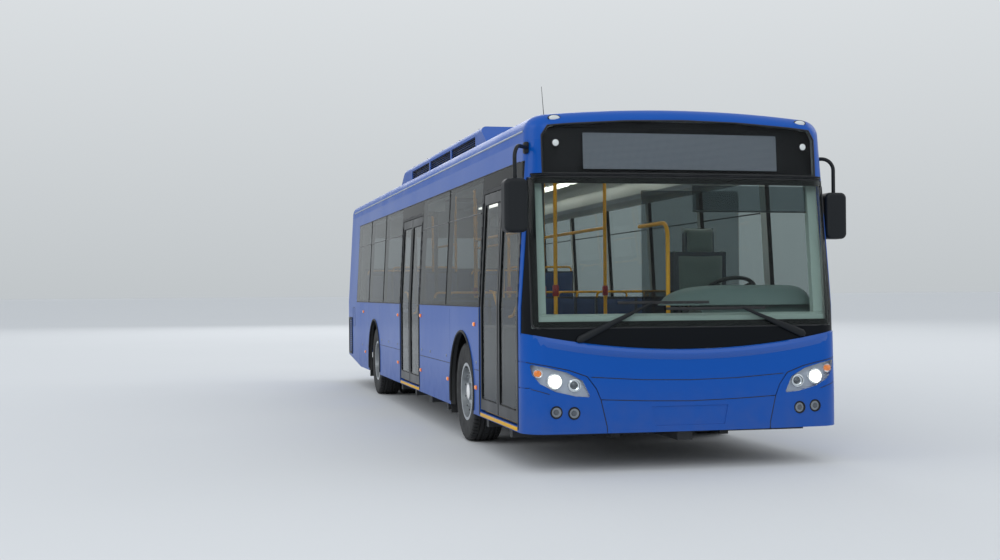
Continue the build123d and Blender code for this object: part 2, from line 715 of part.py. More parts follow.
def tyre_section(x):
    """Half of a tyre's cross section as radius against X, round a middle plane."""
    half = TYRE_W / 2
    seat = RIM_W / 2 - 10
    left = [
        Line((x - seat, RIM_R + 0.6), (x - seat, RIM_R + 18)),
        ThreePointArc((x - seat, RIM_R + 18), (x - half, (RIM_R + TYRE_R) / 2 - 10), (x - half + 16, TYRE_R - 22)),
        ThreePointArc((x - half + 16, TYRE_R - 22), (x - half + 24, TYRE_R - 8), (x - half + 42, TYRE_R)),
    ]
    right = [mirror(edge, about=Plane(origin=(x, 0, 0), z_dir=(1, 0, 0))) for edge in left]
    closing = [
        Line((x - half + 42, TYRE_R), (x + half - 42, TYRE_R)),
        Line((x - seat, RIM_R + 0.6), (x + seat, RIM_R + 0.6)),
    ]
    return make_face(Curve() + left + right + closing)


def turned(section, y):
    """Spin a section given as (X, radius) about a wheel's axle line."""
    face = Plane(origin=(0, y, TYRE_R), x_dir=(1, 0, 0), z_dir=(0, -1, 0)) * section
    axis = Axis((0, y, TYRE_R), (1, 0, 0))
    return revolve(face, axis=axis, revolution_arc=360)


def ring(x, radii):
    """A rectangle of a turned section, from a range of X and a range of radii."""
    return Pos((x[0] + x[1]) / 2, (radii[0] + radii[1]) / 2) * Rectangle(x[1] - x[0], radii[1] - radii[0])


def rim_section(x, disc_x):
    """A rim with flanges round a middle plane, and the cone that leads to its disc."""
    half = RIM_W / 2
    barrel = ring((x - half, x + half), (RIM_R - RIM_T, RIM_R))
    lips = [ring((side, side + RIM_T / 2), (RIM_R - RIM_T, RIM_R + 14)) for side in (x - half - 6, x + half)]
    root = RIM_R - RIM_T
    lean = 1 if disc_x < x else -1
    start = disc_x + lean * 70
    cone = make_face(Polyline((disc_x - 8, 185), (disc_x + 8, 185), (start + 12, root + 2), (start - 12, root + 2),
                              close=True))
    return barrel + lips + cone


def round_the_wheel(shape, x, y, radius, offset=0.0):
    """Copies of a shape round a wheel, with the shape's Z axis along X."""
    step = 360 / NUT_COUNT
    return [
        Pos(x, y, TYRE_R) * Rot(index * step + offset, 0, 0) * Pos(0, 0, radius) * Rot(0, 90, 0) * shape
        for index in range(NUT_COUNT)
    ]


def wheel_nuts(x, y):
    """The ring of wheel nuts on a disc."""
    nut = extrude(RegularPolygon(NUT_R, 6), amount=NUT_L / 2, both=True)
    return round_the_wheel(nut, x, y, NUT_RING_R)


def hand_holes(x, y):
    """The round holes near a rim's edge, between the nuts."""
    hole = Cylinder(HAND_HOLE_R, HAND_HOLE_L)
    return round_the_wheel(hole, x, y, HAND_RING_R, 180 / NUT_COUNT)


def front_rim():
    """A front wheel's rim, disc and hub on the left side."""
    disc = ring((FRONT_DISC_X - 8, FRONT_DISC_X + 8), (SPINDLE_R + FIT, 190))
    hub = ring((1010, FRONT_DISC_X), (SPINDLE_R + FIT, 75))
    cap = ring((FRONT_DISC_X, FRONT_DISC_X + 45), (60, 78)) + ring((FRONT_DISC_X + 40, FRONT_DISC_X + 50), (0, 78))
    section = rim_section(OUTER_TYRE_X, FRONT_DISC_X) + disc + hub + cap
    rim = join(turned(section, FRONT_AXLE_Y), *wheel_nuts(FRONT_DISC_X + NUT_L / 2, FRONT_AXLE_Y))
    return rim - hand_holes(FRONT_DISC_X - HAND_HOLE_SHIFT, FRONT_AXLE_Y)


def rear_rims():
    """A pair of rear rims with their discs back to back, and the hub, on the left side."""
    disc = ring((REAR_DISC_X - 16, REAR_DISC_X + 16), (74, 190))
    hub = ring((REAR_DISC_X - 120, REAR_DISC_X + 150), (SPINDLE_R + FIT, 85))
    cap = ring((REAR_DISC_X + 140, REAR_DISC_X + 160), (0, 85))
    outer = rim_section(OUTER_TYRE_X, REAR_DISC_X + 8)
    inner = rim_section(INNER_TYRE_X, REAR_DISC_X - 8)
    section = outer + inner + disc + hub + cap
    rims = join(turned(section, REAR_AXLE_Y), *wheel_nuts(REAR_DISC_X + 16 + NUT_L / 2, REAR_AXLE_Y))
    return rims - hand_holes(REAR_DISC_X + HAND_HOLE_SHIFT, REAR_AXLE_Y)


def knuckle():
    """The left steering knuckle: two lugs on the kingpin, a back plate and the spindle."""
    y = FRONT_AXLE_Y
    lugs = [
        rod((KINGPIN_X, y, TYRE_R + side * (BOSS_HALF + KNUCKLE_GAP)),
            (KINGPIN_X, y, TYRE_R + side * (BOSS_HALF + LUG_H)), 40.0)
        for side in (-1, 1)
    ]
    arms = [
        block((KINGPIN_X, BACKPLATE_X), (y - 34, y + 34),
              sorted((TYRE_R + side * (BOSS_HALF + KNUCKLE_GAP), TYRE_R + side * (BOSS_HALF + LUG_H))))
        for side in (-1, 1)
    ]
    pin = rod((KINGPIN_X, y, TYRE_R - BOSS_HALF - LUG_H), (KINGPIN_X, y, TYRE_R + BOSS_HALF + LUG_H), KINGPIN_R)
    back = rod((BACKPLATE_X - 5, y, TYRE_R), (BACKPLATE_X + 18, y, TYRE_R), 110.0)
    spindle = rod((BACKPLATE_X, y, TYRE_R), (FRONT_DISC_X + 30, y, TYRE_R), SPINDLE_R)
    return join(*lugs, *arms, pin, back, spindle)


def front_axle_beam():
    """The dropped beam between the kingpins, with its spring seats."""
    low, high = 150.0, LOW_BEAM_TOP
    half = KINGPIN_X - 45
    points = [(-half, TYRE_R + 45), (-half, TYRE_R - 45), (-700, low), (700, low), (half, TYRE_R - 45),
              (half, TYRE_R + 45), (half - 40, TYRE_R + 45), (655, high), (-655, high), (40 - half, TYRE_R + 45)]
    beam = extrude(Plane.XZ * make_face(Polyline(*points, close=True)), amount=45, both=True)
    beam = Pos(0, FRONT_AXLE_Y, 0) * beam
    boss = rod((KINGPIN_X, FRONT_AXLE_Y, TYRE_R - BOSS_HALF), (KINGPIN_X, FRONT_AXLE_Y, TYRE_R + BOSS_HALF), 48.0)
    bore = rod((KINGPIN_X, FRONT_AXLE_Y, 0), (KINGPIN_X, FRONT_AXLE_Y, 1000), KINGPIN_R + FIT)
    seats = block((SPRING_X - 70, SPRING_X + 70), (FRONT_AXLE_Y - 330, FRONT_AXLE_Y + 330), (high - 30, high))
    beam = join(beam, both_sides(boss), both_sides(seats))
    return beam - both_sides(bore)


def rear_axle():
    """The driven axle: tube, differential and spring beams."""
    tube = rod((-INNER_TYRE_X + 60, REAR_AXLE_Y, TYRE_R), (INNER_TYRE_X - 60, REAR_AXLE_Y, TYRE_R), 68.0)
    ends = both_sides(rod((INNER_TYRE_X - 80, REAR_AXLE_Y, TYRE_R), (REAR_DISC_X + 130, REAR_AXLE_Y, TYRE_R),
                          SPINDLE_R))
    globe = Pos(0, REAR_AXLE_Y, TYRE_R) * Sphere(170)
    nose = rod((0, REAR_AXLE_Y, TYRE_R), (0, REAR_AXLE_Y + 330, TYRE_R), 75.0)
    beams = block((REAR_SPRING_X - 45, REAR_SPRING_X + 45), (REAR_AXLE_Y - 560, REAR_AXLE_Y + 560),
                  (REAR_SEAT_Z - 60, REAR_SEAT_Z))
    axle = tube + ends
    axle = axle + globe
    axle = axle + nose
    return axle + beams + mirrored(beams)


def air_springs():
    """The bellows between each axle and the body."""
    front = [
        rod((SPRING_X, FRONT_AXLE_Y + offset, LOW_BEAM_TOP), (SPRING_X, FRONT_AXLE_Y + offset, FLOOR_Z - FLOOR_T), 65.0)
        for offset in (-250, 250)
    ]
    top = REAR_FLOOR_Z - PLATE - REAR_RAIL_H
    rear = [
        rod((REAR_SPRING_X, REAR_AXLE_Y + offset, REAR_SEAT_Z), (REAR_SPRING_X, REAR_AXLE_Y + offset, top), SPRING_R)
        for offset in (-450, 450)
    ]
    return both_sides(join(*front, *rear))


def engine_block():
    """The engine and gearbox as one plain mass between the rear rails."""
    inner = RAIL_X - RAIL_W / 2
    engine = slab((10330.0, 11200.0), (440.0, ENGINE_DECK_Z - PLATE - 60), (-370.0, 370.0))
    gearbox = slab((9800.0, 10330.0), (440.0, 610.0), (-230.0, 230.0))
    feet = slab((10450.0, 10600.0), (560.0, 600.0), (-inner, inner))
    rear_feet = slab((11000.0, 11150.0), (560.0, 600.0), (-inner, inner))
    return join(engine, gearbox, feet, rear_feet)


def door_frame(place, end):
    """Jamb position and the direction into the doorway for one leaf."""
    front, rear = DOORWAYS[place]
    return (y_at(front), 1) if end == "fore" else (y_at(rear), -1)


def door_point(place, end, along, depth):
    """A place in a doorway: distance from its jamb, and depth from the skin at the waist."""
    jamb, way = door_frame(place, end)
    return (depth - HALF, jamb + way * along)


def leaf_width(place):
    """Width of one leaf of a doorway."""
    front, rear = DOORWAYS[place]
    return (rear - front) / 2 - JAMB_GAP - MEETING_GAP / 2


def door_leaf(place, end):
    """A glazed door leaf with its two pivot brackets and pins."""
    width = leaf_width(place)
    jamb, way = door_frame(place, end)
    y = sorted((jamb + way * JAMB_GAP, jamb + way * (JAMB_GAP + width)))
    region = block((-FAR, 0), y, (LEAF_BOTTOM_Z, LEAF_TOP_Z))
    outer, inner, glass_outer, glass_inner = LEAF_HULLS
    leaf = (outer & region) - inner
    opening = block((-FAR, 0), (y[0] + LEAF_FRAME, y[1] - LEAF_FRAME),
                    (LEAF_BOTTOM_Z + 2 * LEAF_FRAME, LEAF_TOP_Z - 2 * LEAF_FRAME))
    glass = (glass_outer & opening) - glass_inner
    leaf = join(leaf - opening, glass)
    root = LEAF_INSET + LEAF_T - BRACKET_LAP
    x, pivot_y = door_point(place, end, PIVOT_REACH - POST_BEHIND_JAMB, PIVOT_DEPTH)
    low_bracket = block((root - HALF, x + 22), (pivot_y - 30, pivot_y + 30), (LEAF_BOTTOM_Z, LEAF_BOTTOM_Z + 12))
    high_bracket = block((root - side_half(LEAF_TOP_Z), x + 22), (pivot_y - 30, pivot_y + 30), (LEAF_TOP_Z - 12, LEAF_TOP_Z))
    low_pin = rod((x, pivot_y, LEAF_BOTTOM_Z), (x, pivot_y, LOW_ARM_Z), PIN_R)
    high_pin = rod((x, pivot_y, LEAF_TOP_Z), (x, pivot_y, HIGH_ARM_Z + ARM_T), PIN_R)
    return join(leaf, low_bracket, high_bracket, low_pin, high_pin)


def door_post(place, end):
    """The turning post beside a doorway, with the arms that carry the leaf."""
    x, y = door_point(place, end, -POST_BEHIND_JAMB, POST_DEPTH)
    pivot_x, pivot_y = door_point(place, end, PIVOT_REACH - POST_BEHIND_JAMB, PIVOT_DEPTH)
    post = rod((x, y, FLOOR_Z + FIT), (x, y, HIGH_ARM_Z + ARM_T + POST_HEAD), POST_R)
    arms = []
    for z in (LOW_ARM_Z, HIGH_ARM_Z):
        arm = rod((x, y, z), (x, y, z + ARM_T), ARM_W / 2) + rod((pivot_x, pivot_y, z), (pivot_x, pivot_y, z + ARM_T),
                                                                  ARM_W / 2)
        reach = math.hypot(pivot_x - x, pivot_y - y)
        turn = math.degrees(math.atan2(pivot_y - y, pivot_x - x))
        bar = Pos((x + pivot_x) / 2, (y + pivot_y) / 2, z + ARM_T / 2) * Rot(0, 0, turn) * Box(reach, ARM_W, ARM_T)
        hole = rod((pivot_x, pivot_y, z - 1), (pivot_x, pivot_y, z + ARM_T + 1), PIN_R + FIT)
        arms.append(join(arm, bar) - hole)
    return join(post, *arms)


def door_headers():
    """The cover over each doorway that holds the posts' upper ends."""
    headers = []
    for front, rear in DOORWAYS.values():
        z = (HIGH_ARM_Z + ARM_T + POST_HEAD + FIT, HEADER_TOP_Z)
        region = slab((front - 60, rear + 60), z, (-FAR, HEADER_DEPTH - HALF))
        headers.append(INNER & region)
    return Compound(headers)


def engine_door():
    """The lid over the engine at the tail."""
    lid = skin(engine_door_region(0.0), WALL)
    return lid - outer_barrels(LID_BARREL_R + FIT) + lid_barrels(0, LID_BARREL_L, LID_BARREL_R)


def mirror_unit(x, back, z, width, height, depth, root):
    """A mirror housing hung on a bent arm."""
    y = y_at(back)
    house = Pos(x, y, z) * Box(width, depth, height)
    house = fillet(house.edges().filter_by(Axis.Y), MIRROR_CORNER_R)
    house = fillet(house.faces().sort_by(Axis.Y)[0].edges(), MIRROR_EDGE_R)
    top = (x, y, z + height / 2 - MIRROR_ARM_R)
    arm = bent_rod([top, (x, y, root[2]), root], MIRROR_BEND_R, MIRROR_ARM_R)
    return join(house, arm)


def mirrors():
    """The two outside mirrors."""
    right_root = (-1190.0, y_at(262.0), 2440.0)
    left_root = (1190.0, y_at(400.0), 2400.0)
    right = mirror_unit(-1340.0, 66.0, 1990.0, 180.0, 400.0, 120.0, right_root)
    left = mirror_unit(1340.0, 300.0, 1940.0, 180.0, 370.0, 120.0, left_root)
    return Compound([right - HULLS[-FIT], left - HULLS[-FIT]])


def wiper(pivot, elbow, blade_z, blade_x):
    """One wiper: spindle, arm and blade, standing just off the screen."""
    def on_screen(x, z, off):
        bow = x ** 2 / (2 * FRONT_BOW_R)
        return (x, FRONT_Y + lean_at(z) + bow - off, z)
    spindle = rod(on_screen(*pivot, -60), on_screen(*pivot, 10), 14)
    arm = rod(on_screen(*pivot, 5), on_screen(*elbow, 11), 6)
    blade = rod(on_screen(blade_x[0], blade_z, 6), on_screen(blade_x[1], blade_z, 6), 8)
    return join(spindle, arm, blade) - HULLS[RECESS - FIT]


def wipers():
    """The two wipers at rest."""
    right = wiper((-760.0, 1040.0), (-290.0, 1262.0), 1262.0, (-560.0, 160.0))
    left = wiper((900.0, 1040.0), (440.0, 1215.0), 1215.0, (-180.0, 620.0))
    return Compound([right, left])


def passenger_seat(side, back, floor_z):
    """A pair of seats on one pedestal."""
    x = (SEAT_OUTER_X - 2 * SEAT_W, SEAT_OUTER_X)
    cushion = slab((back - 220, back + 200), (floor_z + 380, floor_z + 440), x)
    rest = slab((back + 200, back + 250), (floor_z + 400, floor_z + 960), x)
    leg = slab((back - 60, back + 60), (floor_z, floor_z + 380), (x[0] + 120, x[1] - 120))
    pair = join(cushion, rest, leg)
    return pair if side > 0 else mirrored(pair)


def passenger_seats():
    """All the passenger seats, with the bench across the tail."""
    seats = [passenger_seat(*row) for row in SEAT_ROWS]
    bench = slab((10230.0, 10650.0), (ENGINE_DECK_Z, ENGINE_DECK_Z + 90), (-1100.0, 1100.0))
    bench_rest = slab((10650.0, 10710.0), (ENGINE_DECK_Z, ENGINE_DECK_Z + 620), (-1100.0, 1100.0))
    return join(*seats, bench, bench_rest)


def pole(x, back, low):
    """An upright grab pole from a floor to the ceiling."""
    y = y_at(back)
    return rod((x, y, low), (x, y, SHELL_TOP_Z), 17) & HULLS[WALL + FIT]


def handrails():
    """Upright poles and the rails under the ceiling."""
    poles = [pole(*place) for place in POLES]
    rails = [
        rod((side * POLE_X, y_at(start), RAIL_Z), (side * POLE_X, y_at(end), RAIL_Z), 16)
        for side, start, end in RAILS
    ]
    return join(*poles, *rails)


def driver_seat():
    """The driver's seat on its pedestal."""
    back = DRIVER_SEAT_BACK
    x = (DRIVER_X - 240, DRIVER_X + 240)
    base = slab((back - 150, back + 150), (CAB_FLOOR_Z, CAB_FLOOR_Z + 330), (DRIVER_X - 150, DRIVER_X + 150))
    cushion = slab((back - 240, back + 220), (CAB_FLOOR_Z + 330, CAB_FLOOR_Z + 450), x)
    rest = slab((back + 190, back + 310), (CAB_FLOOR_Z + 430, CAB_FLOOR_Z + 1130), x)
    head = slab((back + 200, back + 290), (CAB_FLOOR_Z + 1130, CAB_FLOOR_Z + 1300), (DRIVER_X - 130, DRIVER_X + 130))
    return join(base, cushion, rest, head)


def dashboard():
    """The dashboard across the cab, with the steering column."""
    start, end = DASH_BACKS
    points = [(y_at(start), CAB_FLOOR_Z), (y_at(start), 1080.0), (y_at(start + 160), DASH_TOP_Z),
              (y_at(end - 160), DASH_TOP_Z), (y_at(end), 1120.0), (y_at(end - 120), CAB_FLOOR_Z)]
    body = extrude(Plane.YZ * make_face(Polyline(*points, close=True)), amount=INNER_HALF - 20 - CAB_IN_X)
    body = Pos(CAB_IN_X, 0, 0) * body
    outline = [(y_at(back), z) for back, z in HUMP]
    hump = extrude(Plane.YZ * make_face(Polyline(*outline, close=True)), amount=HUMP_X[1] - HUMP_X[0])
    hump = Pos(HUMP_X[0], 0, 0) * hump
    return join(join(body, hump) & HULLS[WALL + FIT], steering_column())


def steering_frame():
    """A plane at the steering wheel's centre, square to its column."""
    tilt = math.radians(WHEEL_TILT)
    centre = (DRIVER_X, y_at(WHEEL_CENTRE[0]), WHEEL_CENTRE[1])
    return Plane(origin=centre, x_dir=(1, 0, 0), z_dir=(0, math.sin(tilt), math.cos(tilt)))


def steering_column():
    """The column that ends just under the steering wheel's hub."""
    plane = steering_frame()
    top = STEERING_HUB[0] - FIT
    return plane * (Pos(0, 0, top - COLUMN_L / 2) * Cylinder(32, COLUMN_L))


def steering_wheel():
    """A four-spoke steering wheel."""
    plane = steering_frame()
    rim = Torus(STEERING_R, STEERING_RIM_R)
    low, high = STEERING_HUB
    hub = Pos(0, 0, (low + high) / 2) * Cylinder(60, high - low)
    spokes = [Rot(0, 0, 45 + 90 * step) * Pos(STEERING_R / 2, 0, -6) * Box(STEERING_R, 34, 12) for step in range(4)]
    return plane * join(rim, hub, *spokes)


def cab_partition():
    """The wall behind the driver and the low wall beside the cab."""
    back = slab((CAB_BACK - PLATE - 2, CAB_BACK - 2), (CAB_FLOOR_Z, 2250.0), (CAB_IN_X, INNER_HALF - 60))
    beside = slab((900.0, CAB_BACK - PLATE - 2), (CAB_FLOOR_Z, 1350.0), (CAB_IN_X, CAB_IN_X + PLATE))
    return join(back, beside) & HULLS[WALL + FIT]


def build():
    """Write every piece."""
    os.makedirs("parts", exist_ok=True)
    save("side_wall_right", door_side(side_wall(-1, RIGHT_PANES)))
    save("side_wall_left", side_wall(1, LEFT_PANES))
    save("side_glass", side_glass())
    save("roof_shell", roof_shell())
    save("front_panel", front_panel())
    save("front_bumper", front_bumper())
    save("front_glass", front_glass())
    save("front_lamps", front_lamps())
    save("rear_panel", rear_panel())
    save("rear_bumper", rear_bumper())
    save("rear_window", skin(rear_region(REAR_GLASS_Z, REAR_GLASS_HALF), GLASS))
    save("rear_lamps", skin(lamp_plugs(REAR_LAMPS, -FRONT_Y), REAR_LENS_T))
    save("engine_door", engine_door())
    save("roof_pod", roof_pod())
    save("floor", floor())
    save("floor_boxes", floor_boxes())
    save("chassis_frame", chassis_frame())
    save("cross_members", cross_members())
    save("front_axle_beam", front_axle_beam())
    save("rear_axle", rear_axle())
    save("air_springs", air_springs())
    save("engine_block", engine_block())
    save("mirrors", mirrors())
    save("wipers", wipers())
    save("passenger_seats", passenger_seats())
    save("handrails", handrails())
    save("driver_seat", driver_seat())
    save("dashboard", dashboard())
    save("steering_wheel", steering_wheel())
    save("cab_partition", cab_partition())
    save("door_headers", door_headers())
    front_tyre = turned(tyre_section(OUTER_TYRE_X), FRONT_AXLE_Y)
    rear_tyres = Compound([turned(tyre_section(x), REAR_AXLE_Y) for x in (OUTER_TYRE_X, INNER_TYRE_X)])
    left_pieces = {
        "knuckle": knuckle(),
        "front_tyre": front_tyre,
        "front_rim": front_rim(),
        "rear_tyres": rear_tyres,
        "rear_rims": rear_rims(),
    }
    for name, piece in left_pieces.items():
        save(f"{name}_left", piece)
        save(f"{name}_right", mirrored(piece))
    for place in DOORWAYS:
        for end in ("fore", "aft"):
            save(f"{place}_door_leaf_{end}", door_leaf(place, end))
            save(f"{place}_door_post_{end}", door_post(place, end))


build()
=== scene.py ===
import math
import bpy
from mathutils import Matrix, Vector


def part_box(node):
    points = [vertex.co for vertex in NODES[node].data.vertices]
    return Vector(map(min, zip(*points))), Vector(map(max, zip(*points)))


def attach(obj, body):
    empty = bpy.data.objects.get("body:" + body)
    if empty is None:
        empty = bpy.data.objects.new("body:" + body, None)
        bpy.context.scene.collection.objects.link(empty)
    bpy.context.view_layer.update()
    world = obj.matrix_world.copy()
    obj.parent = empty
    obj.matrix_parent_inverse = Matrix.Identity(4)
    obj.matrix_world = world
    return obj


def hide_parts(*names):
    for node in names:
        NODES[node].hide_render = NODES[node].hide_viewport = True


bl_info = {
    "name": "City Bus Finish",
    "version": (1, 0, 0),
    "blender": (4, 5, 0),
    "location": "3D View > Sidebar > City Bus",
    "description": "Dresses a low-floor city bus with its paint, glass, seals, lamps, tyres, seats and trim",
    "category": "Object",
}

import bmesh
import bpy
from bpy.props import FloatProperty, FloatVectorProperty, IntProperty, PointerProperty
from mathutils import Matrix, Vector
from mathutils.bvhtree import BVHTree

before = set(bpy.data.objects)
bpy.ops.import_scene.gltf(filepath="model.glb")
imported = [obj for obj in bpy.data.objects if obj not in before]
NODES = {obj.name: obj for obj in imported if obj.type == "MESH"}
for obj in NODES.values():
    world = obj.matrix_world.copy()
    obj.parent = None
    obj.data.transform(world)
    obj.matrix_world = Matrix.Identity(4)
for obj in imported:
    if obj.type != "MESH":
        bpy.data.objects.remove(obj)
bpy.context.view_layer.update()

# Along the bus, "back" is a distance behind the nose
FRONT_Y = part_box("front_bumper")[0].y
REAR_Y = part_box("rear_bumper")[1].y
AXLE_BACKS = (2.46, 8.46)
ARCH_RADIUS = 0.55
HUB_Z = 0.4475
SIDES = (-1, 1)
BODY = "bus_body"
MM = 0.001
SHELL_NODES = (
    "side_wall_right", "side_wall_left", "side_glass", "roof_shell", "front_panel", "front_bumper",
    "front_glass", "front_lamps", "rear_panel", "rear_bumper", "rear_window", "rear_lamps", "engine_door",
    "front_door_leaf_fore", "front_door_leaf_aft", "middle_door_leaf_fore", "middle_door_leaf_aft",
)


def srgb(hex_value):
    """Linear RGBA of an sRGB hex value."""
    shares = [int(hex_value[start:start + 2], 16) / 255 for start in (0, 2, 4)]
    return tuple(c / 12.92 if c <= 0.04045 else ((c + 0.055) / 1.055) ** 2.4 for c in shares) + (1.0,)


def colour(name, note, hex_value):
    """A colour property whose default is an sRGB hex value."""
    return FloatVectorProperty(name=name, description=note, default=srgb(hex_value), size=4, min=0.0, max=1.0,
                               subtype="COLOR")


def length(name, note, metres):
    """A length property with its default in metres."""
    return FloatProperty(name=name, description=note, default=metres, min=0.0, unit="LENGTH")


class BusPaint(bpy.types.PropertyGroup):
    """Colours of the painted, moulded and woven surfaces."""
    body: colour("Body", "Enamel of the whole outside", "004ca4")
    panel: colour("Panels", "Gloss black round the windscreen", "101317")
    rim: colour("Rims", "Silver enamel of the wheels", "b9bdc0")
    rail: colour("Rails", "Powder coat of the grab rails", "f2a900")
    lining: colour("Lining", "Moulded ceiling and walls of the cabin", "c9cdcc")
    seat: colour("Seats", "Woven covers of the seats", "24406e")
    vinyl: colour("Floor", "Vinyl of the cabin floor", "5a5f63")
    dash: colour("Dashboard", "Grained cover of the dashboard", "5f6f6f")


class BusGlass(bpy.types.PropertyGroup):
    """Tints of the glazing."""
    windscreen: colour("Windscreen", "Laminated glass with a slight green tint", "e4eeeb")
    side: colour("Side", "Dark tinted panes", "a0a7a8")
    door: colour("Doors", "Tinted glass of the door leaves", "b4babb")
    display: colour("Display", "Smoked glass over the display", "c9cdd0")


class BusTrim(bpy.types.PropertyGroup):
    """Sizes of seals and edges."""
    seal: length("Seal", "Radius of the rubber round the glass", 0.007)
    arch_lip: length("Arch lip", "Radius of the rubber lip of a wheel arch", 0.012)


class BusTyres(bpy.types.PropertyGroup):
    """Pattern of the tyres."""
    pitches: IntProperty(name="Pitches", description="Shoulder blocks round a tyre", default=60, min=12)
    groove: length("Groove depth", "Depth of the grooves", 0.012)
    bead: length("Bead", "Radius of the rim seat", 0.247)


class BusStage(bpy.types.PropertyGroup):
    """Floor, sky and lamps."""
    floor: colour("Floor", "Pale studio floor", "cfd1d3")
    sky: FloatProperty(name="Sky", description="Strength of the soft light from all round",
                       default=1.0, min=0.0)
    key: FloatProperty(name="Key", description="Power of the large lamp in watts", default=2300.0, min=0.0)


def settings(name):
    """One property group of the scene."""
    return getattr(bpy.context.scene, name)


def add_node(tree, kind, values=None, sockets=None):
    """Add a node, set its properties, and fill its sockets with values or links."""
    node = tree.nodes.new(kind)
    for key, value in (values or {}).items():
        setattr(node, key, value)
    for key, value in (sockets or {}).items():
        if isinstance(value, bpy.types.NodeSocket):
            tree.links.new(value, node.inputs[key])
        else:
            node.inputs[key].default_value = value
    return node


def maths(tree, operation, *values):
    """The result of a math node on values or links."""
    return add_node(tree, "ShaderNodeMath", {"operation": operation}, dict(enumerate(values))).outputs[0]


def mixed(tree, share, first, second):
    """A colour between two, by a share."""
    return add_node(tree, "ShaderNodeMix", {"data_type": "RGBA"}, {0: share, 6: first, 7: second}).outputs[2]


def mapped(tree, value, source, target):
    """A value carried from one range to another."""
    return add_node(tree, "ShaderNodeMapRange", None, {
        "Value": value, "From Min": source[0], "From Max": source[1],
        "To Min": target[0], "To Max": target[1]}).outputs[0]


def noise(tree, place, scale, detail):
    """Noise over a place."""
    return add_node(tree, "ShaderNodeTexNoise", None, {
        "Vector": place, "Scale": scale, "Detail": detail}).outputs[0]


def axes_of(tree, place):
    """A place's X, Y and Z."""
    return add_node(tree, "ShaderNodeSeparateXYZ", None, {0: place}).outputs


def scaled(shade, factor):
    """A colour made lighter or darker."""
    return tuple(min(1.0, c * factor) for c in shade[:3]) + (1.0,)


def empty_material(name):
    """A material with no nodes, and its tree."""
    made = bpy.data.materials.new(name)
    made.use_nodes = True
    made.node_tree.nodes.clear()
    return made, made.node_tree


# Road film: its colour, and the heights between which it fades
FILM_SHADE = "6d675e"
FILM_Z = (0.25, 0.75)
# Share of its coat and shine that a finish loses in its edge zone
EDGE_LOSS = 0.6


def surface(name, shade, roughness, metallic=0.0, coat=0.0, mottle=0.05, mottle_mm=400.0, grain=0.0,
            grain_mm=2.0, film=0.0, sheen=0.0, glow=0.0, shine=0.5, edge=None):
    """An uneven finish: cloudy colour and gloss, fine relief, and road film that fades upwards."""
    if name in bpy.data.materials:
        return bpy.data.materials[name]
    made, tree = empty_material(name)
    place = add_node(tree, "ShaderNodeTexCoord").outputs["Object"]
    cloud = noise(tree, place, 1 / (mottle_mm * MM), 5.0)
    base = mixed(tree, cloud, scaled(shade, 1 - mottle), scaled(shade, 1 + mottle))
    gloss = mapped(tree, cloud, (0.3, 0.7), (roughness * 0.85, min(1.0, roughness * 1.15)))
    if edge:
        other, test = edge(tree, place)
        base = mixed(tree, test, base, other)
        coat, shine = (maths(tree, "MULTIPLY_ADD", test, -EDGE_LOSS * whole, whole)
                       for whole in (coat, shine))
    if film:
        height = axes_of(tree, place)["Z"]
        spray = noise(tree, place, 9.0, 8.0)
        fade = mapped(tree, height, FILM_Z, (film, 0.0))
        share = maths(tree, "MULTIPLY", fade, spray)
        base = mixed(tree, share, base, srgb(FILM_SHADE))
        gloss = maths(tree, "ADD", gloss, share)
    skin = add_node(tree, "ShaderNodeBsdfPrincipled", None, {
        "Base Color": base, "Roughness": gloss, "Metallic": metallic, "Coat Weight": coat,
        "Coat Roughness": 0.03, "Coat IOR": 1.4, "Sheen Weight": sheen, "Specular IOR Level": shine})
    if glow:
        skin.inputs["Emission Color"].default_value = shade
        skin.inputs["Emission Strength"].default_value = glow
    if grain:
        relief = noise(tree, place, 1 / (grain_mm * MM), 3.0)
        bump = add_node(tree, "ShaderNodeBump", None, {
            "Strength": grain, "Distance": grain_mm * MM * 0.2, "Height": relief})
        tree.links.new(bump.outputs[0], skin.inputs["Normal"])
    add_node(tree, "ShaderNodeOutputMaterial", None, {0: skin.outputs[0]})
    return made


def glass(name, tint, index=1.45):
    """Glass whose shadow rays pass through a tinted film, so that lamps light the cabin."""
    if name in bpy.data.materials:
        return bpy.data.materials[name]
    made, tree = empty_material(name)
    pane = add_node(tree, "ShaderNodeBsdfPrincipled", None, {
        "Base Color": tint, "Roughness": 0.0, "Transmission Weight": 1.0, "IOR": index})
    film = add_node(tree, "ShaderNodeBsdfTransparent", None, {"Color": tint})
    rays = add_node(tree, "ShaderNodeLightPath")
    both = add_node(tree, "ShaderNodeMixShader", None, {
        0: rays.outputs["Is Shadow Ray"], 1: pane.outputs[0], 2: film.outputs[0]})
    add_node(tree, "ShaderNodeOutputMaterial", None, {0: both.outputs[0]})
    return made


# Black zone of the nose: it dips from the corners to the middle under the windscreen
BLACK_LOW_MIDDLE = 0.908
BLACK_DIP = 0.082
BLACK_TOP = 2.243
BLACK_BACK = 0.215
# Dark glass band of the sides: heights, and distances behind the nose
BAND_Z = (1.226, 2.345)
BAND_BACKS = (0.275, 10.41)
# Underside of the cabin floor, the place behind the nose where it rises, and by how much
UNDER_Z = 0.33
RISE_BACK = 6.9
RISE = 0.29
UNDER_SHADE = "1b1d1f"


def within(tree, value, low, high):
    """1 where a value lies between two limits, else 0."""
    above = maths(tree, "GREATER_THAN", value, low)
    below = maths(tree, "LESS_THAN", value, high)
    return maths(tree, "MULTIPLY", above, below)


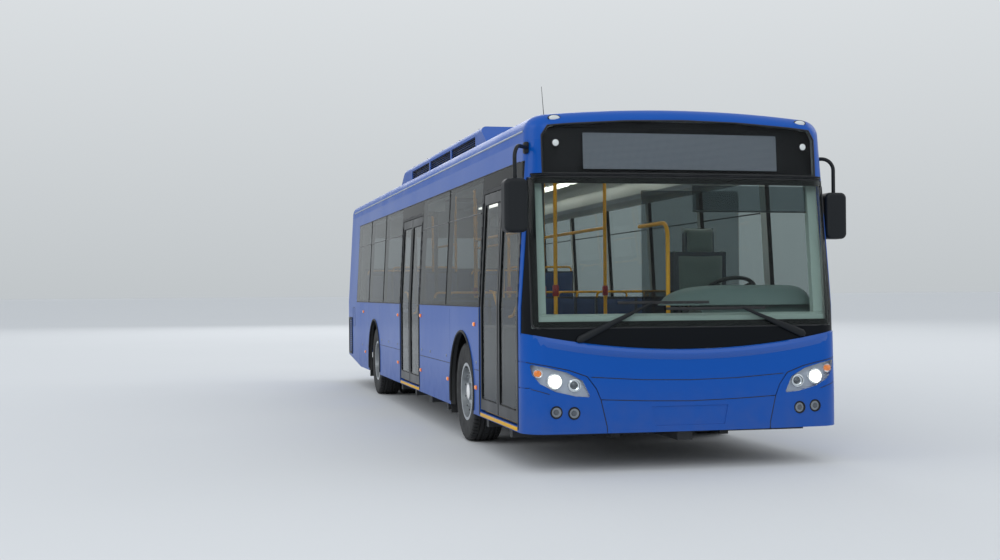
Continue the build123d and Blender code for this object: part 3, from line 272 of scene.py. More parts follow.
def nose_zone(tree, place):
    """The black zone's colour, and a test for where it lies on the nose."""
    axes = axes_of(tree, place)
    square = maths(tree, "MULTIPLY", axes["X"], axes["X"])
    low = maths(tree, "MULTIPLY_ADD", square, BLACK_DIP, BLACK_LOW_MIDDLE)
    upright = within(tree, axes["Z"], low, BLACK_TOP)
    ahead = within(tree, axes["Y"], FRONT_Y - 1.0, FRONT_Y + BLACK_BACK)
    test = maths(tree, "MULTIPLY", upright, ahead)
    return settings("bus_paint").panel, test


def side_zone(tree, place):
    """The same for the dark band along the side windows."""
    axes = axes_of(tree, place)
    upright = within(tree, axes["Z"], *BAND_Z)
    along = within(tree, axes["Y"], FRONT_Y + BAND_BACKS[0], FRONT_Y + BAND_BACKS[1])
    test = maths(tree, "MULTIPLY", upright, along)
    return settings("bus_paint").panel, test


def low_zone(tree, place):
    """The underbody's colour, and a test for what lies below the cabin floor, which is higher in the rear."""
    axes = axes_of(tree, place)
    rear = maths(tree, "GREATER_THAN", axes["Y"], FRONT_Y + RISE_BACK)
    level = maths(tree, "MULTIPLY_ADD", rear, RISE, UNDER_Z)
    test = maths(tree, "LESS_THAN", axes["Z"], level)
    return srgb(UNDER_SHADE), test


def enamel(name="Enamel_Blue", edge=None):
    """Two-pack enamel, sprayed and polished: a deep colour under clear gloss with faint orange peel."""
    return surface(name, settings("bus_paint").body, 0.34, coat=0.22, mottle=0.03, mottle_mm=1500.0,
                   grain=0.05, grain_mm=14.0, film=0.25, shine=0.12, edge=edge)


def roof_enamel():
    """The same enamel on the roof, dulled by weather and dust."""
    return surface("Enamel_Roof", settings("bus_paint").body, 0.42, coat=0.08, mottle=0.06, mottle_mm=700.0,
                   grain=0.05, grain_mm=14.0, shine=0.2)


def gloss_black():
    """Gloss black enamel on moulded panels."""
    return surface("Enamel_Black", settings("bus_paint").panel, 0.25, coat=0.6, grain=0.04, grain_mm=12.0)


def rubber():
    """Extruded EPDM rubber: matt, nearly black."""
    return surface("Rubber_EPDM", srgb("15171a"), 0.62, mottle=0.15, mottle_mm=60.0, grain=0.2, grain_mm=3.0)


def tyre_rubber():
    """Carbon-black tyre rubber, greyed by road dust."""
    return surface("Rubber_Tyre", srgb("1d1e20"), 0.72, mottle=0.3, mottle_mm=90.0, grain=0.35, grain_mm=4.0)


def abs_black():
    """Grained black ABS: moulded, satin."""
    return surface("ABS_Black", srgb("14181c"), 0.48, mottle=0.06, grain=0.25, grain_mm=2.5, shine=0.25)


def anodised_black():
    """Black anodised aluminium: satin and slightly metallic."""
    return surface("Aluminium_Black", srgb("1a1d20"), 0.35, metallic=0.5, mottle=0.08,
                   grain=0.05, grain_mm=3.0)


def silver_enamel():
    """Silver enamel over stamped steel, with brake dust in the clouds."""
    return surface("Steel_Silver_Enamel", settings("bus_paint").rim, 0.38, metallic=0.75, mottle=0.18,
                   mottle_mm=120.0, grain=0.1, grain_mm=5.0)


def cast_iron():
    """Cast iron with a dark wax coat and dull rust clouds."""
    return surface("Iron_Cast", srgb("3b3733"), 0.7, metallic=0.4, mottle=0.35, mottle_mm=70.0, grain=0.6,
                   grain_mm=5.0)


def frame_paint():
    """Chassis enamel: dark grey, thick and dusty."""
    return surface("Enamel_Chassis", srgb("2b2d2f"), 0.6, mottle=0.25, mottle_mm=250.0,
                   grain=0.3, grain_mm=8.0)


def powder_yellow():
    """Powder coat on steel tube: even and softly glossy, with fine orange peel."""
    return surface("Powder_Coat_Yellow", settings("bus_paint").rail, 0.35, mottle=0.04,
                   grain=0.12, grain_mm=2.0)


def lining():
    """Moulded polyester panels: pale, satin, finely grained."""
    return surface("Lining_Moulded", settings("bus_paint").lining, 0.5, mottle=0.05, grain=0.15, grain_mm=3.0,
                   edge=low_zone)


def floor_vinyl():
    """Speckled safety vinyl with hard grains that show as relief."""
    return surface("Vinyl_Floor", settings("bus_paint").vinyl, 0.55, mottle=0.35, mottle_mm=6.0, grain=0.5,
                   grain_mm=4.0)


def dash_cover():
    """Soft grained polyurethane skin of the dashboard: matt grey green."""
    return surface("Polyurethane_Dash", settings("bus_paint").dash, 0.55, mottle=0.05,
                   grain=0.35, grain_mm=2.5)


def seat_shell():
    """Seat shells of dyed polypropylene: satin, with fine grain."""
    return surface("Polypropylene_Seat", srgb("2b3440"), 0.42, mottle=0.06, grain=0.2, grain_mm=2.0)


def seat_cloth():
    """Woven wool moquette: short pile that lightens at glancing angles, thread drawn at 4 mm to show."""
    return surface("Moquette_Seat", settings("bus_paint").seat, 0.9, mottle=0.3, mottle_mm=14.0, grain=0.7,
                   grain_mm=4.0, sheen=0.6)


def chrome():
    """Vacuum-coated reflector: bright and smooth."""
    return surface("Reflector_Chrome", srgb("e6e8ea"), 0.08, metallic=1.0, mottle=0.02)


def lamp_grey():
    """Silver-grey paint inside a lamp housing."""
    return surface("Housing_Grey", srgb("b1b6c2"), 0.35, metallic=0.3, mottle=0.05)


def lamp_colour(name, hex_value, glow):
    """Dyed acrylic lens with a glow: lit from behind on a lamp, a painted glow on a reflector, which has no
    lamp.
    """
    return surface(name, srgb(hex_value), 0.12, coat=0.5, mottle=0.08, mottle_mm=10.0, grain=0.3,
                   grain_mm=6.0, glow=glow)


def paint(node, material, chosen=None):
    """Give a CAD node a finish, all over or where a test of a face's centre and normal says so."""
    mesh = NODES[node].data
    if chosen is None:
        mesh.materials.clear()
        mesh.materials.append(material)
        return
    slot = len(mesh.materials)
    mesh.materials.append(material)
    for face in mesh.polygons:
        if chosen(face.center, face.normal):
            face.material_index = slot


def tree_of(names):
    """A ray tree over several CAD nodes."""
    verts, faces = [], []
    for name in names:
        mesh = NODES[name].data
        start = len(verts)
        verts += [v.co.copy() for v in mesh.vertices]
        faces += [[start + i for i in face.vertices] for face in mesh.polygons]
    return BVHTree.FromPolygons(verts, faces)


SHELL = tree_of(SHELL_NODES)
# How far outside the body its rays start
FAR = 9.0


def on_shell(start, way, lift=0.0):
    """Where a ray meets the outside of the body, moved off it by a lift; a ray down a joint is moved over."""
    for nudge in (0.0, 0.002, -0.002, 0.005, -0.005):
        place, normal, _, _ = SHELL.ray_cast(Vector(start) + Vector((nudge, nudge, nudge)), Vector(way))
        if place is not None:
            break
    else:
        raise RuntimeError(f"no skin on the ray from {tuple(start)}")
    if normal.dot(Vector(way)) > 0:
        normal = -normal
    return place + normal * lift


def on_front(x, z, lift=0.0):
    """A point of the nose."""
    return on_shell((x, -FAR, z), (0, 1, 0), lift)


def on_rear(x, z, lift=0.0):
    """A point of the tail."""
    return on_shell((x, FAR, z), (0, -1, 0), lift)


def on_side(side, back, z, lift=0.0):
    """A point of one side, given by its distance behind the nose."""
    return on_shell((side * FAR, FRONT_Y + back, z), (-side, 0, 0), lift)


def on_roof(x, back, lift=0.0):
    """A point of the roof."""
    return on_shell((x, FRONT_Y + back, FAR), (0, 0, -1), lift)


def rounded_outline(u, v, radius, spacing=0.08):
    """A closed rounded rectangle as points not further apart than a spacing."""
    corners = [(u[1] - radius, v[1] - radius, 0), (u[0] + radius, v[1] - radius, 90),
               (u[0] + radius, v[0] + radius, 180), (u[1] - radius, v[0] + radius, 270)]
    points = []
    for a, b, start in corners:
        for step in range(7):
            angle = math.radians(start + step * 15)
            points.append((a + radius * math.cos(angle), b + radius * math.sin(angle)))
    return dense(points + points[:1], spacing)[:-1]


def dense(points, spacing):
    """The same path with points added so that no step is longer than a spacing."""
    path = [points[0]]
    for a, b in zip(points, points[1:]):
        parts = max(1, math.ceil(math.dist(a, b) / spacing))
        for part in range(1, parts + 1):
            path.append(tuple(p + (q - p) * part / parts for p, q in zip(a, b)))
    return path


# Steps across a cushion's face
CUSHION_STEPS = 14


def slab(x, half, ys, zs):
    """Corners of a box that lies centred on an X."""
    return (x - half, ys[0], zs[0]), (x + half, ys[1], zs[1])


class Forms:
    """Closed forms gathered into one mesh."""

    def __init__(self):
        self.verts = []
        self.faces = []

    def add(self, verts, faces):
        """Add vertices and the faces between them."""
        start = len(self.verts)
        self.verts += [tuple(v) for v in verts]
        self.faces += [[start + i for i in face] for face in faces]
        return self

    def rings(self, rings, closed=False, caps=True):
        """Skin a row of rings with equal counts of points."""
        count = len(rings[0])
        rows = len(rings)
        faces = []
        for row in range(rows if closed else rows - 1):
            for i in range(count):
                j = (i + 1) % count
                after = (row + 1) % rows
                faces.append((row * count + i, row * count + j, after * count + j, after * count + i))
        if caps and not closed:
            faces.append(tuple(range(count))[::-1])
            faces.append(tuple((rows - 1) * count + i for i in range(count)))
        return self.add([p for ring in rings for p in ring], faces)

    def sheet(self, rows, depth):
        """A curved sheet: rows of points, and the same rows moved by a depth, closed round the edge."""
        deep = Vector(depth)
        return self.rings([[*row, *[p + deep for p in reversed(row)]] for row in rows])

    def cushion(self, low, high, flat, crown=0.012, pull=0.03, channels=()):
        """A crowned pad between two corners: its sides pull in, and sewn channels sink across its face."""
        middle, half = (Vector(low) + Vector(high)) / 2, (Vector(high) - Vector(low)) / 2
        across, along = [axis for axis in range(3) if axis != flat]
        start = len(self.verts)
        marks = [-1 + 2 * step / CUSHION_STEPS for step in range(CUSHION_STEPS + 1)]
        for face in (1, -1):
            for u in marks:
                for v in marks:
                    rim = ((1 - u ** 6) * (1 - v ** 6)) ** 0.35
                    swell = crown * (1 - u * u) * (1 - v * v) if face > 0 else 0.0
                    sunk = sum(0.4 * crown * math.exp(-((v - mark) / 0.05) ** 2)
                               for mark in channels) * (1 - u ** 4)
                    place = Vector((0, 0, 0))
                    place[across] = half[across] * u * (1 - pull * (1 - v * v))
                    place[along] = half[along] * v * (1 - pull * (1 - u * u))
                    place[flat] = face * half[flat] * rim + swell - (sunk if face > 0 else 0.0)
                    self.verts.append(tuple(middle + place))
        count = len(marks)
        for face in (0, 1):
            for row in range(count - 1):
                for column in range(count - 1):
                    first = start + face * count * count + row * count + column
                    corners = (first, first + count, first + count + 1, first + 1)
                    self.faces.append(corners if face == 0 else corners[::-1])
        return self

    def lathe(self, profile, place, steps=48, closed=False):
        """Turn a profile of (radius, height) pairs about the Z axis of a placing matrix."""
        rings = []
        for radius, height in profile:
            rings.append([place @ Vector((radius * math.cos(a), radius * math.sin(a), height))
                          for a in (2 * math.pi * step / steps for step in range(steps))])
        return self.rings(rings, closed)

    def block(self, low, high, round_by=0.004, turn=None):
        """A box with rounded edges, turned by a matrix."""
        made = bmesh.new()
        bmesh.ops.create_cube(made, size=1.0)
        size = Vector(high) - Vector(low)
        centre = (Vector(high) + Vector(low)) / 2
        for vert in made.verts:
            vert.co = Vector(a * b for a, b in zip(vert.co, size))
        radius = min(round_by, min(size) * 0.49)
        if radius > 0:
            bmesh.ops.bevel(made, geom=made.edges[:], offset=radius, segments=2, profile=0.5, affect="EDGES")
        for vert in made.verts:
            vert.co += centre
        if turn is not None:
            made.transform(turn)
        made.verts.index_update()
        self.add([v.co.copy() for v in made.verts], [[v.index for v in face.verts] for face in made.faces])
        made.free()
        return self

    def mesh(self, name):
        """The forms as a mesh."""
        made = bpy.data.meshes.new(name)
        made.from_pydata(self.verts, [], self.faces)
        return made

    def piece(self, name, material, body=BODY, slot=None, crease=35.0):
        """Make the mesh a piece that rides on a body."""
        return finish_piece(name, self.mesh(name), material, body, crease)


def finish_piece(name, mesh, material, body=BODY, crease=35.0):
    """Link a mesh as a piece with clean normals, smooth faces and a body to ride on."""
    tidy = bmesh.new()
    tidy.from_mesh(mesh)
    bmesh.ops.remove_doubles(tidy, verts=tidy.verts, dist=1e-6)
    bmesh.ops.recalc_face_normals(tidy, faces=tidy.faces)
    tidy.to_mesh(mesh)
    tidy.free()
    mesh.polygons.foreach_set("use_smooth", [True] * len(mesh.polygons))
    mesh.set_sharp_from_angle(angle=math.radians(crease))
    if not mesh.materials:
        mesh.materials.append(material)
    piece = bpy.data.objects.new(name, mesh)
    bpy.context.scene.collection.objects.link(piece)
    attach(piece, body)
    return piece


def facing(place, way, up=(0, 0, 1)):
    """A matrix at a place with its Z axis along a direction."""
    axis = Vector(way).normalized()
    side = Vector(up).cross(axis)
    if side.length < 1e-4:
        side = Vector((1, 0, 0))
    side.normalize()
    turn = Matrix((side, axis.cross(side), axis)).transposed().to_4x4()
    return Matrix.Translation(Vector(place)) @ turn


def geometry_tree(name, inputs):
    """A geometry tree with named inputs, and its first node."""
    tree = bpy.data.node_groups.new(name, "GeometryNodeTree")
    tree.interface.new_socket("Geometry", in_out="INPUT", socket_type="NodeSocketGeometry")
    for label, kind in inputs.items():
        tree.interface.new_socket(label, in_out="INPUT", socket_type=kind)
    tree.interface.new_socket("Geometry", in_out="OUTPUT", socket_type="NodeSocketGeometry")
    return tree, add_node(tree, "NodeGroupInput").outputs


def close_tree(tree, given, result):
    """Make a geometry tree's result real, give it the material and put it out."""
    real = add_node(tree, "GeometryNodeRealizeInstances", None, {0: result})
    dyed = add_node(tree, "GeometryNodeSetMaterial", None, {
        "Geometry": real.outputs[0], "Material": given["Material"]})
    add_node(tree, "NodeGroupOutput", None, {0: dyed.outputs[0]})
    return tree


def pipe_tree():
    """A round tube along the edges of a mesh, its corners rounded."""
    tree, given = geometry_tree("Pipe", {
        "Radius": "NodeSocketFloat", "Bend": "NodeSocketFloat", "Sides": "NodeSocketInt",
        "Material": "NodeSocketMaterial"})
    line = add_node(tree, "GeometryNodeMeshToCurve", None, {"Mesh": given["Geometry"]})
    bent = add_node(tree, "GeometryNodeFilletCurve", {"mode": "POLY"}, {
        "Curve": line.outputs[0], "Count": 6, "Radius": given["Bend"], "Limit Radius": True})
    section = add_node(tree, "GeometryNodeCurvePrimitiveCircle", None, {
        "Resolution": given["Sides"], "Radius": given["Radius"]})
    tube = add_node(tree, "GeometryNodeCurveToMesh", None, {
        "Curve": bent.outputs[0], "Profile Curve": section.outputs[0], "Fill Caps": True})
    return close_tree(tree, given, tube.outputs[0])


def copies_tree():
    """Copies of a piece, each turned about Z and moved on from the one before."""
    tree, given = geometry_tree("Copies", {
        "Count": "NodeSocketInt", "Turn": "NodeSocketFloat", "Reach": "NodeSocketFloat",
        "Step": "NodeSocketVector", "Piece": "NodeSocketObject", "Material": "NodeSocketMaterial"})
    index = add_node(tree, "GeometryNodeInputIndex").outputs[0]
    angle = maths(tree, "MULTIPLY", index, given["Turn"])
    arm = add_node(tree, "ShaderNodeCombineXYZ", None, {"X": given["Reach"]}).outputs[0]
    spun = add_node(tree, "ShaderNodeVectorRotate", {"rotation_type": "Z_AXIS"},
                    {"Vector": arm, "Angle": angle}).outputs[0]
    along = add_node(tree, "ShaderNodeVectorMath", {"operation": "SCALE"},
                     {0: given["Step"], "Scale": index}).outputs[0]
    place = add_node(tree, "ShaderNodeVectorMath", {"operation": "ADD"}, {0: spun, 1: along}).outputs[0]
    turn = add_node(tree, "ShaderNodeCombineXYZ", None, {"Z": angle}).outputs[0]
    points = add_node(tree, "GeometryNodePoints", None, {"Count": given["Count"], "Position": place})
    source = add_node(tree, "GeometryNodeObjectInfo", None, {"Object": given["Piece"]})
    copies = add_node(tree, "GeometryNodeInstanceOnPoints", None, {
        "Points": points.outputs[0], "Instance": source.outputs["Geometry"], "Rotation": turn})
    return close_tree(tree, given, copies.outputs[0])


def grown(mesh, tree, values):
    """The plain mesh that a geometry tree makes of a mesh."""
    holder = bpy.data.objects.new("holder", mesh)
    bpy.context.scene.collection.objects.link(holder)
    modifier = holder.modifiers.new("tree", "NODES")
    modifier.node_group = tree
    for item in tree.interface.items_tree:
        if item.in_out == "INPUT" and item.name in values:
            modifier[item.identifier] = values[item.name]
    evaluated = holder.evaluated_get(bpy.context.evaluated_depsgraph_get())
    made = bpy.data.meshes.new_from_object(evaluated)
    holder.modifiers.remove(modifier)
    bpy.data.objects.remove(holder)
    return made


def shared_tree(name, maker):
    """A geometry tree by name, made the first time that it is asked for."""
    return bpy.data.node_groups.get(name) or maker()


def pipes(name, paths, radius, material, body=BODY, bend=0.0, closed=False, sides=10):
    """Round tubes along paths, as one piece."""
    verts, edges = [], []
    for path in paths:
        start = len(verts)
        verts += [tuple(p) for p in path]
        edges += [(start + i, start + i + 1) for i in range(len(path) - 1)]
        if closed:
            edges.append((start + len(path) - 1, start))
    line = bpy.data.meshes.new("line")
    line.from_pydata(verts, edges, [])
    mesh = grown(line, shared_tree("Pipe", pipe_tree), {
        "Radius": radius, "Bend": bend, "Sides": sides, "Material": material})
    return finish_piece(name, mesh, material, body)


def copied(forms, count, material, turn=0.0, reach=0.0, step=(0, 0, 0), place=None):
    """The mesh of forms repeated in a ring or a row, then placed."""
    unit = bpy.data.objects.new("unit", forms.mesh("unit"))
    bpy.context.scene.collection.objects.link(unit)
    made = grown(bpy.data.meshes.new("points"), shared_tree("Copies", copies_tree), {
        "Count": count, "Turn": turn, "Reach": reach, "Step": [float(part) for part in step], "Piece": unit,
        "Material": material})
    bpy.data.objects.remove(unit)
    if place is not None:
        made.transform(place)
    return made


def joined(meshes):
    """Several meshes as one."""
    whole = bmesh.new()
    for mesh in meshes:
        whole.from_mesh(mesh)
    made = bpy.data.meshes.new("joined")
    whole.to_mesh(made)
    whole.free()
    for material in meshes[0].materials:
        made.materials.append(material)
    return made


class BUS_OT_body_finish(bpy.types.Operator):
    """Give every CAD node its finish"""
    bl_idname = "bus.body_finish"
    bl_label = "Body finish"

    def execute(self, context):
        """Paint the nodes by a table, then the faces that differ."""
        blue, pale = enamel(), lining()
        iron, chassis, alloy = cast_iron(), frame_paint(), anodised_black()
        plain = {
            enamel("Enamel_Side", side_zone): ("side_wall_right", "side_wall_left"),
            blue: ("front_bumper", "rear_panel", "rear_bumper", "engine_door"),
            roof_enamel(): ("roof_shell", "roof_pod"),
            enamel("Enamel_Nose", nose_zone): ("front_panel",),
            # Glazing: clear and tinted, with a low index that keeps its mirror images faint
            glass("Glass_Side_Tinted", settings("bus_glass").side, 1.09): ("side_glass", "rear_window"),
            glass("Glass_Windscreen", settings("bus_glass").windscreen, 1.22): ("front_glass",),
            floor_vinyl(): ("floor", "floor_boxes"),
            chassis: ("chassis_frame", "cross_members", "engine_block"),
            iron: ("front_axle_beam", "rear_axle", "knuckle_left", "knuckle_right"),
            rubber(): ("air_springs",),
            abs_black(): ("mirrors", "wipers", "steering_wheel"),
            seat_shell(): ("passenger_seats", "driver_seat"),
            powder_yellow(): ("handrails",),
            dash_cover(): ("dashboard",),
            pale: ("door_headers",),
            glass("Glass_Partition_Smoked", srgb("9aa2a4"), 1.05): ("cab_partition",),
            silver_enamel(): ("front_rim_left", "front_rim_right", "rear_rims_left", "rear_rims_right"),
            tyre_rubber(): ("front_tyre_left", "front_tyre_right", "rear_tyres_left", "rear_tyres_right"),
            alloy: tuple(f"{place}_door_post_{end}" for place in ("front", "middle")
                         for end in ("fore", "aft")),
            lamp_grey(): ("front_lamps",),
            lamp_colour("Acrylic_Red", "8a0d10", 0.15): ("rear_lamps",),
        }
        for material, nodes in plain.items():
            for node in nodes:
                paint(node, material)
        self.paint_inside(pale)
        paint("floor_boxes", chassis, faces_wheel)
        for node in ("floor", "floor_boxes"):
            paint(node, chassis, lambda centre, normal: normal.z < -0.5)
        self.paint_doors(alloy)
        # Smoked glass: it dims the display behind it
        smoked = glass("Glass_Display_Smoked", settings("bus_glass").display, 1.15)
        paint("front_glass", smoked, lambda centre, normal: centre.z > BLACK_TOP)
        return {"FINISHED"}

    def paint_inside(self, pale):
        """Line the cabin side of the walls, the nose, the tail and the roof."""
        for node in ("side_wall_right", "side_wall_left"):
            way = 1 if node.endswith("left") else -1
            paint(node, pale, lambda centre, normal: normal.x * way < -0.6)
            paint(node, frame_paint(), in_arch)
        for node in ("roof_shell", "front_panel", "rear_panel"):
            paint(node, pale, inward)

    def paint_doors(self, alloy):
        """Split each door leaf into its frame and its glass."""
        # Tinted glass of the leaves: clear, its mirror images faint
        pane = glass("Glass_Door_Tinted", settings("bus_glass").door, 1.12)
        for place in ("front", "middle"):
            for end in ("fore", "aft"):
                node = f"{place}_door_leaf_{end}"
                low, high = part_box(node)
                paint(node, alloy)
                paint(node, pane, lambda centre, normal: leaf_glass(centre, normal, low, high))


def inward(centre, normal):
    """True for a face that looks into the cabin."""
    middle = Vector((0, min(max(centre.y, FRONT_Y + 1.5), REAR_Y - 1.5), 1.6))
    return normal.dot(middle - centre) > 0.25 * (middle - centre).length


def faces_wheel(centre, normal):
    """True for a face of a wheel box that looks at its wheel."""
    back = min(AXLE_BACKS, key=lambda axle: abs(centre.y - FRONT_Y - axle))
    axle = Vector((math.copysign(1.1, centre.x), FRONT_Y + back, HUB_Z))
    return normal.dot(axle - centre) > 0


def in_arch(centre, normal):
    """True for the edge of a side wall round a wheel."""
    away = min(math.hypot(centre.y - FRONT_Y - back, centre.z - HUB_Z) for back in AXLE_BACKS)
    return abs(normal.x) < 0.6 and away < ARCH_RADIUS + 0.02


# Width of a door leaf's frame
LEAF_FRAME = 0.045


def leaf_glass(centre, normal, low, high):
    """True for a face of a door leaf's pane."""
    inside_y = low.y + LEAF_FRAME - 0.001 < centre.y < high.y - LEAF_FRAME + 0.001
    inside_z = low.z + 2 * LEAF_FRAME < centre.z < high.z - 2 * LEAF_FRAME
    return inside_y and inside_z and abs(normal.x) > 0.9


# Heights of the seals below and above the side panes, and of the bars across them
BAND_SEAL_Z = (1.228, 2.346)
TRANSOM_Z = 2.03
# Glazing seals of the nose and tail, seen from ahead: half width, heights, corner radius
SCREEN_EDGE = (1.207, (1.075, 2.215), 0.05)
TAIL_GLASS = (0.95, (1.45, 2.25), 0.09)
DISPLAY_EDGE = [(0.0, 2.24), (1.105, 2.24), (1.105, 2.53), (1.06, 2.602), (0.9, 2.616),
                (0.45, 2.643), (0.0, 2.652)]
# Width of the windscreen's black border, and the sun blind's place behind the windscreen
FRIT = 0.05
BLIND_X = (0.08, 1.04)
BLIND_Z = (1.96, 2.16)
# Side panes by side, as distances behind the nose
PANES = {-1: ((1.710, 3.225), (3.240, 4.755), (6.200, 7.590), (7.605, 8.995), (9.010, 10.400)),
         1: ((0.420, 1.290), (1.350, 2.850), (2.865, 4.365), (4.380, 5.880), (5.895, 7.395), (7.410, 8.890),
             (8.905, 10.400))}
# Joints of the skin, filled with black beads: across the nose (X, height), then on the sides (back, height)
NOSE_JOINTS = (((0.0, 0.518), (0.35, 0.526), (0.701, 0.541), (0.735, 0.624), (0.803, 0.715), (0.942, 0.764),
                (1.114, 0.800), (1.245, 0.824)),
               ((0.701, 0.541), (0.655, 0.340), (0.652, 0.285)),
               ((0.0, 0.677), (0.38, 0.685), (0.765, 0.710)))
SIDE_JOINTS = (((0.12, 0.632), (0.255, 0.632)), ((1.70, 0.680), (1.88, 0.680)),
               ((3.03, 0.680), (4.77, 0.680)), ((6.20, 0.680), (7.88, 0.680)))
# A black bead along each nose corner's crease, where the skin has no joint: a painted shade line
CORNER_CREASE_SHADE_LINE = ((1.25, 0.632), (1.17, 0.612), (1.09, 0.588))
# The display's matrix: half width, heights, half the dots' pitch and where a dot starts in it
MATRIX_HALF = 0.785
MATRIX_Z = (2.277, 2.552)
DOT_HALF_PITCH = 0.0045
DOT_EDGE = 0.0020


def beside(side, back, z, gap):
    """The middle of an upright joint: the skin just behind it, moved over."""
    return on_side(side, back + gap, z) + Vector((0, -gap, 0))


def both_halves(points):
    """A closed outline from its left half, given from the middle round to the middle."""
    return points + [(-x, z) for x, z in reversed(points) if x > 0]


def nose_grid(x_range, z_range, depth, columns=24, rows=4):
    """A grid of points behind the nose's skin."""
    grid = []
    for row in range(rows + 1):
        z = z_range[0] + (z_range[1] - z_range[0]) * row / rows
        line = []
        for column in range(columns + 1):
            x = x_range[0] + (x_range[1] - x_range[0]) * column / columns
            line.append(on_front(x, z) + Vector((0, depth, 0)))
        grid.append(line)
    return grid


def matrix_face():
    """Unlit display matrix: dark dots in straight rows on satin black, spaced 9 mm."""
    made, tree = empty_material("Display_Matrix")
    place = add_node(tree, "ShaderNodeTexCoord").outputs["Object"]
    axes = axes_of(tree, place)
    dots = []
    for axis in ("X", "Z"):
        wave = maths(tree, "PINGPONG", axes[axis], DOT_HALF_PITCH)
        dots.append(maths(tree, "GREATER_THAN", wave, DOT_EDGE))
    both = maths(tree, "MULTIPLY", dots[0], dots[1])
    shade = mixed(tree, both, srgb("7f858b"), srgb("b9bec2"))
    skin = add_node(tree, "ShaderNodeBsdfPrincipled", None, {"Base Color": shade, "Roughness": 0.5})
    add_node(tree, "ShaderNodeOutputMaterial", None, {0: skin.outputs[0]})
    return made


